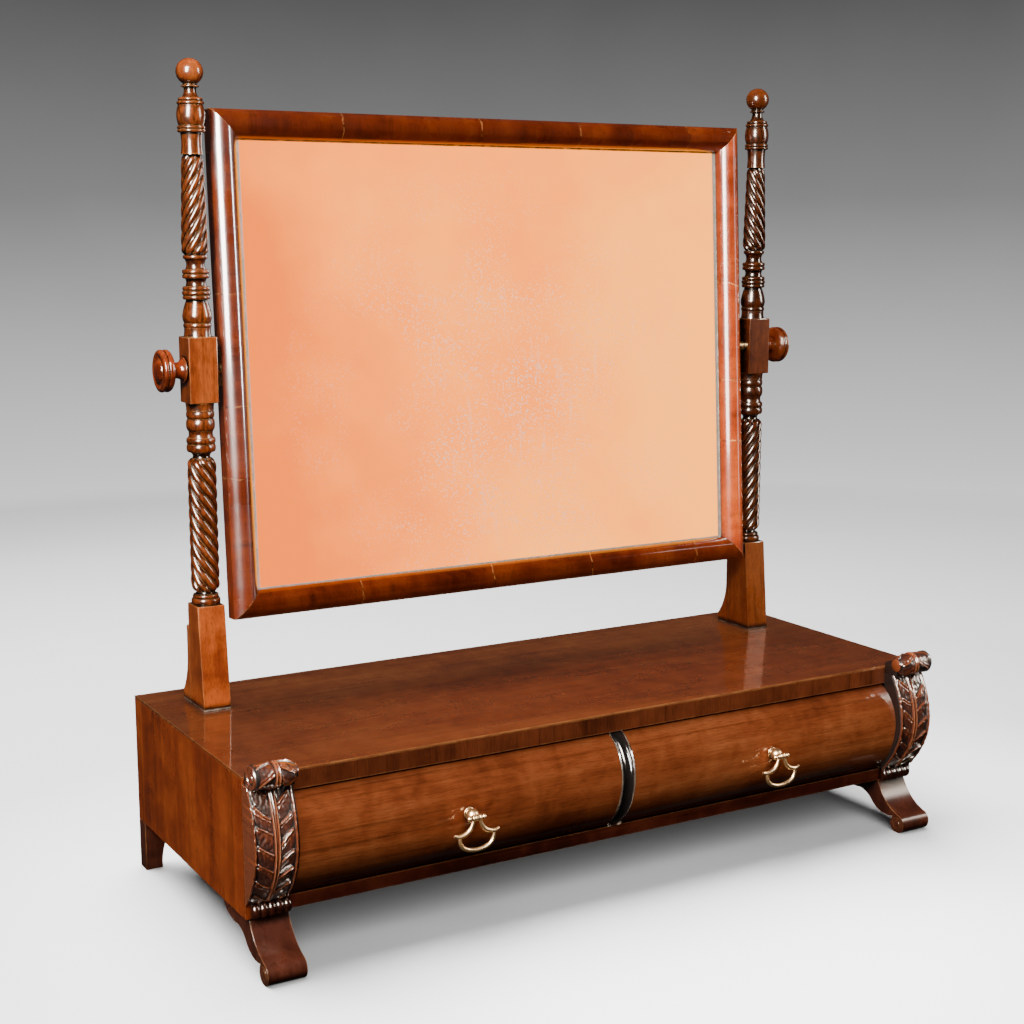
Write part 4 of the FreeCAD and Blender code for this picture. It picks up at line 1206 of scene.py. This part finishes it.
# %% Floor and backdrop
sweep_radius = 3.0
sweep_corner = 0.8
sweep_height = 3.2
corner_steps = 12
sweep_steps = 96
run_length, pool_length = 5, 2.5
pool_shift = (0, 0.3, 0)


def backdrop_finish():
    made = Finish("pale_backdrop")
    flat = made.vectors("MULTIPLY", made.where, (1, 1, 0)).outputs[0]
    reach = made.vectors("LENGTH", flat).outputs["Value"]
    run = made.sums("DIVIDE", made.plus(reach, made.axis("Z")), run_length)
    run = made.plus(run, made.times(made.minus(made.clouds(3, 2), 0.5), 0.015))
    painted_pool = made.add("Mapping", {"Vector": made.where, "Location": pool_shift, "Scale": (1, 1, 0)}).outputs[0]
    painted_pool = made.sums("DIVIDE", made.vectors("LENGTH", painted_pool).outputs["Value"], pool_length)
    # A painted pool of light on the floor, palest in front of the object.
    floor = made.fade(painted_pool, (0.06, 1.0), (0.18, 0.7), (0.32, 0.42), (0.52, 0.36), (0.76, 0.2), (1.0, 0))
    # A painted glow, brightest low on the wall and grey above.
    glow = made.fade(run, (0.2, 0), (0.47, 1.0), (0.6, 0.64), (0.73, 0.25), (0.84, 0.1))
    return made.done({"Base Color": floor, "Emission Color": glow, "Emission Strength": 1.0, "Roughness": 0.9,
                      "Specular IOR Level": 0.1})


line = [(0, 0), (sweep_radius - sweep_corner, 0)]
for step in range(1, corner_steps + 1):
    angle = math.pi / 2 * step / corner_steps
    line.append((sweep_radius - sweep_corner * (1 - math.sin(angle)), sweep_corner * (1 - math.cos(angle))))
line.append((sweep_radius, sweep_height))
bm = spun(line, lambda r, z: (r, 0, z), (0, 0, 0), (0, 0, 1), sweep_steps)
bmesh.ops.recalc_face_normals(bm, faces=bm.faces)
bmesh.ops.reverse_faces(bm, faces=bm.faces)
crisp_above(bm, degrees=60)
sweep = as_object("studio_sweep", bm, backdrop_finish())
sweep.visible_glossy = False
sweep.visible_diffuse = False
sweep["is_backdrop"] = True
print("sweep", 2 * sweep_radius, "m across")

# %% [markdown]
# A mirror shows whatever stands in front of it. Here that is a plain warm wall, bent round the front with a
# floor and a ceiling to it, which only the plate can see. It glows softly and unevenly, as a painted wall
# does under a lamp.

# %% Warm wall for the plate
wall_line = ((0.1, -0.3), (2.6, -0.3), (2.6, 2.6), (0.1, 2.9))
wall_half_turn = math.radians(75)
wall_steps = 32
wall_glow = 3.5
wall_bright_x, wall_slope = 1.3, 0.5


def warm_wall_finish():
    made = Finish("warm_wall")
    across = made.times(made.minus(made.axis("X"), wall_bright_x), wall_slope)
    shade = made.plus(made.clouds(1.7, 4, 0.55), across)
    colour = made.ramp(shade, (0.2, tone(216, 98, 12)), (0.45, tone(244, 128, 24)), (0.7, tone(255, 154, 46)))
    glow = made.add("Emission", {"Color": colour, "Strength": wall_glow}).outputs[0]
    made.fill(made.tree.nodes["Material Output"], {"Surface": glow})
    made.tree.nodes.remove(made.shader)
    return made.material


rows = len(wall_line) - 1
bm = grid(wall_steps, rows)
for vert in bm.verts:
    angle = wall_half_turn * vert.co.x - math.pi / 2
    radius, height = wall_line[round((vert.co.y + 1) / 2 * rows)]
    vert.co = (radius * math.cos(angle), radius * math.sin(angle), height)
wall = as_object("warm_wall", bm, warm_wall_finish())
for ray in ("camera", "diffuse", "transmission", "volume_scatter", "shadow"):
    setattr(wall, "visible_" + ray, False)
seen_by = bpy.data.collections.new("sees_warm_wall")
seen_by.objects.link(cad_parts["mirror_glass"])
wall.light_linking.receiver_collection = seen_by
wall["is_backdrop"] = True
print("warm wall in place")

# %% [markdown]
# Studio light is built up piece by piece, as a photographer flags a lamp off one surface and on to another.
# Every lamp is an area light that is kept to some pieces, or off them, by light linking. Boxes light a
# piece and show in its polish. Cards only show in the polish, as the long white lines on the frame and the
# turned work do. Fills only light, and never show.

# %% Lamps and what they light
white, pale_warm, warm = (1, 1, 1), (1, 0.92, 0.84), (1, 0.87, 0.72)
heart = (cad_low + cad_high) / 2
floor_front = Vector((0, -0.25, 0))


def link_all(name, names, state):
    """A collection of pieces that a lamp's links include or leave out."""
    linked = bpy.data.collections.new(name)
    for piece in names:
        linked.objects.link(bpy.data.objects[piece])
    for entry in linked.collection_objects:
        entry.light_linking.link_state = state
    return linked


def lamp(name, at, width, height, watts, pieces, only=True, colour=white, aim=heart, lights=True, shows=True):
    """An area light for some pieces only, or for all but them."""
    light = bpy.data.lights.new(name, "AREA")
    light.shape = "RECTANGLE"
    light.size, light.size_y = width, height
    light.energy = watts
    light.color = colour
    made = bpy.data.objects.new(name, light)
    made.location = at
    made.rotation_euler = (aim - Vector(at)).to_track_quat("-Z", "Y").to_euler()
    bpy.context.scene.collection.objects.link(made)
    made.visible_diffuse = lights
    made.visible_glossy = shows
    state = "INCLUDE" if only else "EXCLUDE"
    made.light_linking.receiver_collection = link_all(name + "_pieces", pieces, state)
    print(name, "with", watts, "W, for" if only else "W, for all but", len(pieces), "pieces")
    return made


def turning_of(side):
    return [side + name for name in ("_post_turning", "_post_bracket_worked", "_knob_turning")]


card, fill = {"lights": False}, {"shows": False}
floor, plate = ["studio_sweep"], ["mirror_glass"]
flat_show = [name + "_worked" for name in ("top_veneer", "left_drawer_front", "right_drawer_front",
                                           "fascia_banding", "bottom_front_rail")]
left_stile, right_stile, top_rail, bottom_rail = (
    ["frame_" + name + "_worked"] for name in ("left_stile", "right_stile", "top_rail", "bottom_rail"))
frame_show = left_stile + right_stile + top_rail + bottom_rail
posts = turning_of("left") + turning_of("right")
handles = [side + name for side in sides for name in ("_handle_ball", "_handle_pin", "_bail_stirrup")]
backs = ["mirror_backboard_worked", "back_board_worked", "left_back_foot_worked", "right_back_foot_worked",
         "backboard_nails"]
print("lamps for", len(flat_show), "flat pieces,", len(frame_show), "frame sides,", len(posts), "turnings")

# %% [markdown]
# The main box stands on the left and a weak one on the right. The black bead and the brass have their own.

# %% Boxes
lamp("left_box", (-1.15, -0.8, 1.25), 0.3, 1.0, 40, flat_show + posts + floor + plate, only=False)
lamp("right_box", (1.9, -0.9, 0.9), 0.25, 1.6, 7, flat_show + floor + plate, only=False)
lamp("bead_card", (1.2, -1.5, 0.7), 0.3, 1.3, 140, ["centre_moulding_bead"])
lamp("brass_card", (-0.3, -1.6, 1.1), 1.4, 1.1, 34, handles)

# %% [markdown]
# Cards draw the long highlights on the turned and carved work, and paler ones down the frame's sides.

# %% Cards
no_card = flat_show + frame_show + floor + plate
lamp("left_card", (-1.25, -1.0, 1.1), 0.5, 1.1, 230, no_card, only=False, colour=warm, **card)
lamp("right_card", (1.85, -1.1, 1.1), 0.34, 1.2, 44, no_card, only=False, colour=warm, **card)
lamp("left_frame_card", (-1.25, -1.0, 1.0), 0.8, 1.04, 330, left_stile + top_rail, colour=pale_warm, **card)
lamp("right_frame_card", (1.85, -1.1, 1.07), 0.5, 1.16, 140, left_stile, **card)
lamp("inner_frame_card", (-1.25, -1.0, 0.75), 0.8, 1.5, 190, right_stile, colour=warm, **card)

# %% [markdown]
# Fills raise the tone of a few pieces at a time: the flat fronts, each post, the plate, the back and the
# floor.

# %% Fills
lamp("frame_fill", (-0.6, -1.5, 1.3), 0.8, 0.8, 160, right_stile, **fill)
lamp("front_top", (-0.5, -1.9, 1.7), 1.6, 0.4, 60, flat_show, **fill)
lamp("plate_fill", (-0.5, -1.9, 1.7), 1.0, 0.4, 90, plate, **fill)
lamp("front_fill", (-0.4, -1.3, 2.3), 1.2, 0.8, 17, flat_show + posts + floor, only=False, **fill)
lamp("left_post_box", (-1.1, -1.7, 2.2), 0.6, 0.6, 205, turning_of("left"), **fill)
lamp("right_post_box", (-0.7, -1.7, 2.2), 0.6, 0.6, 46, turning_of("right"), **fill)
lamp("top_box", (0.1, 0.4, 2.2), 1.6, 1.0, 22, floor, only=False, aim=floor_front, **fill)
lamp("back_fill", (0.5, 2.2, 1.2), 1.4, 1.0, 60, backs + frame_show + posts, **fill)
lamp("side_fill", (2.2, 0.5, 1.0), 0.8, 0.8, 24, ["right_side_panel_worked"], **fill)
lamp("floor_fill", (-0.4, -1.7, 1.2), 1.8, 2.4, 50, floor, aim=floor_front, **fill)

# %% [markdown]
# The floor has a broad lamp of its own, above and behind. The posts and the mirror cast no shadow from it,
# so only the base's soft shadow is left, in front. The world gives a little fill.

# %% Floor light and world
floor_box = lamp("floor_box", (-0.35, 0.85, 2.0), 3.0, 2.6, 400, floor, aim=floor_front, **fill)
floor_box.data.shape = "ELLIPSE"
solid = [one.name for one in bpy.data.objects if one.type == "MESH"]
upright = [name for name in solid if name.startswith(("frame_", "mirror_")) or "_post_" in name]
floor_box.light_linking.blocker_collection = link_all("floor_box_shadows", upright, "EXCLUDE")
world = bpy.data.worlds.new("studio")
bpy.context.scene.world = world
world.use_nodes = True
background = world.node_tree.nodes["Background"]
background.inputs["Color"].default_value = (0.5, 0.47, 0.44, 1)
background.inputs["Strength"].default_value = 0.06
print(len(upright), "pieces cast no shadow on the floor")

# %% [markdown]
# The camera stands at the viewing angle of the object's picture: about thirty degrees to the left and ten
# above. Its lens and place were worked out from straight edges of the base and the frame.

# %% Camera
look_down, look_right = math.radians(9.64), math.radians(30.31)
camera_at = (-0.7891, -1.28185, 0.5788)
lens_length, sensor_width = 58.24, 36
camera = bpy.data.cameras.new("camera")
camera.lens = lens_length
camera.sensor_width = sensor_width
viewer = bpy.data.objects.new("camera", camera)
viewer.location = camera_at
viewer.rotation_euler = (math.pi / 2 - look_down, 0, -look_right)
bpy.context.scene.collection.objects.link(viewer)
bpy.context.scene.camera = viewer
print("camera", camera.lens, "mm")

# %% [markdown]
# Last, the dressed object is measured against the part: the finish may not make it larger.

# %% Size and finish
low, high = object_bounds()
print("grown by", [round((b - a) / mm, 2) for a, b in zip(cad_low, low)],
      [round((b - a) / mm, 2) for a, b in zip(cad_high, high)], "mm")
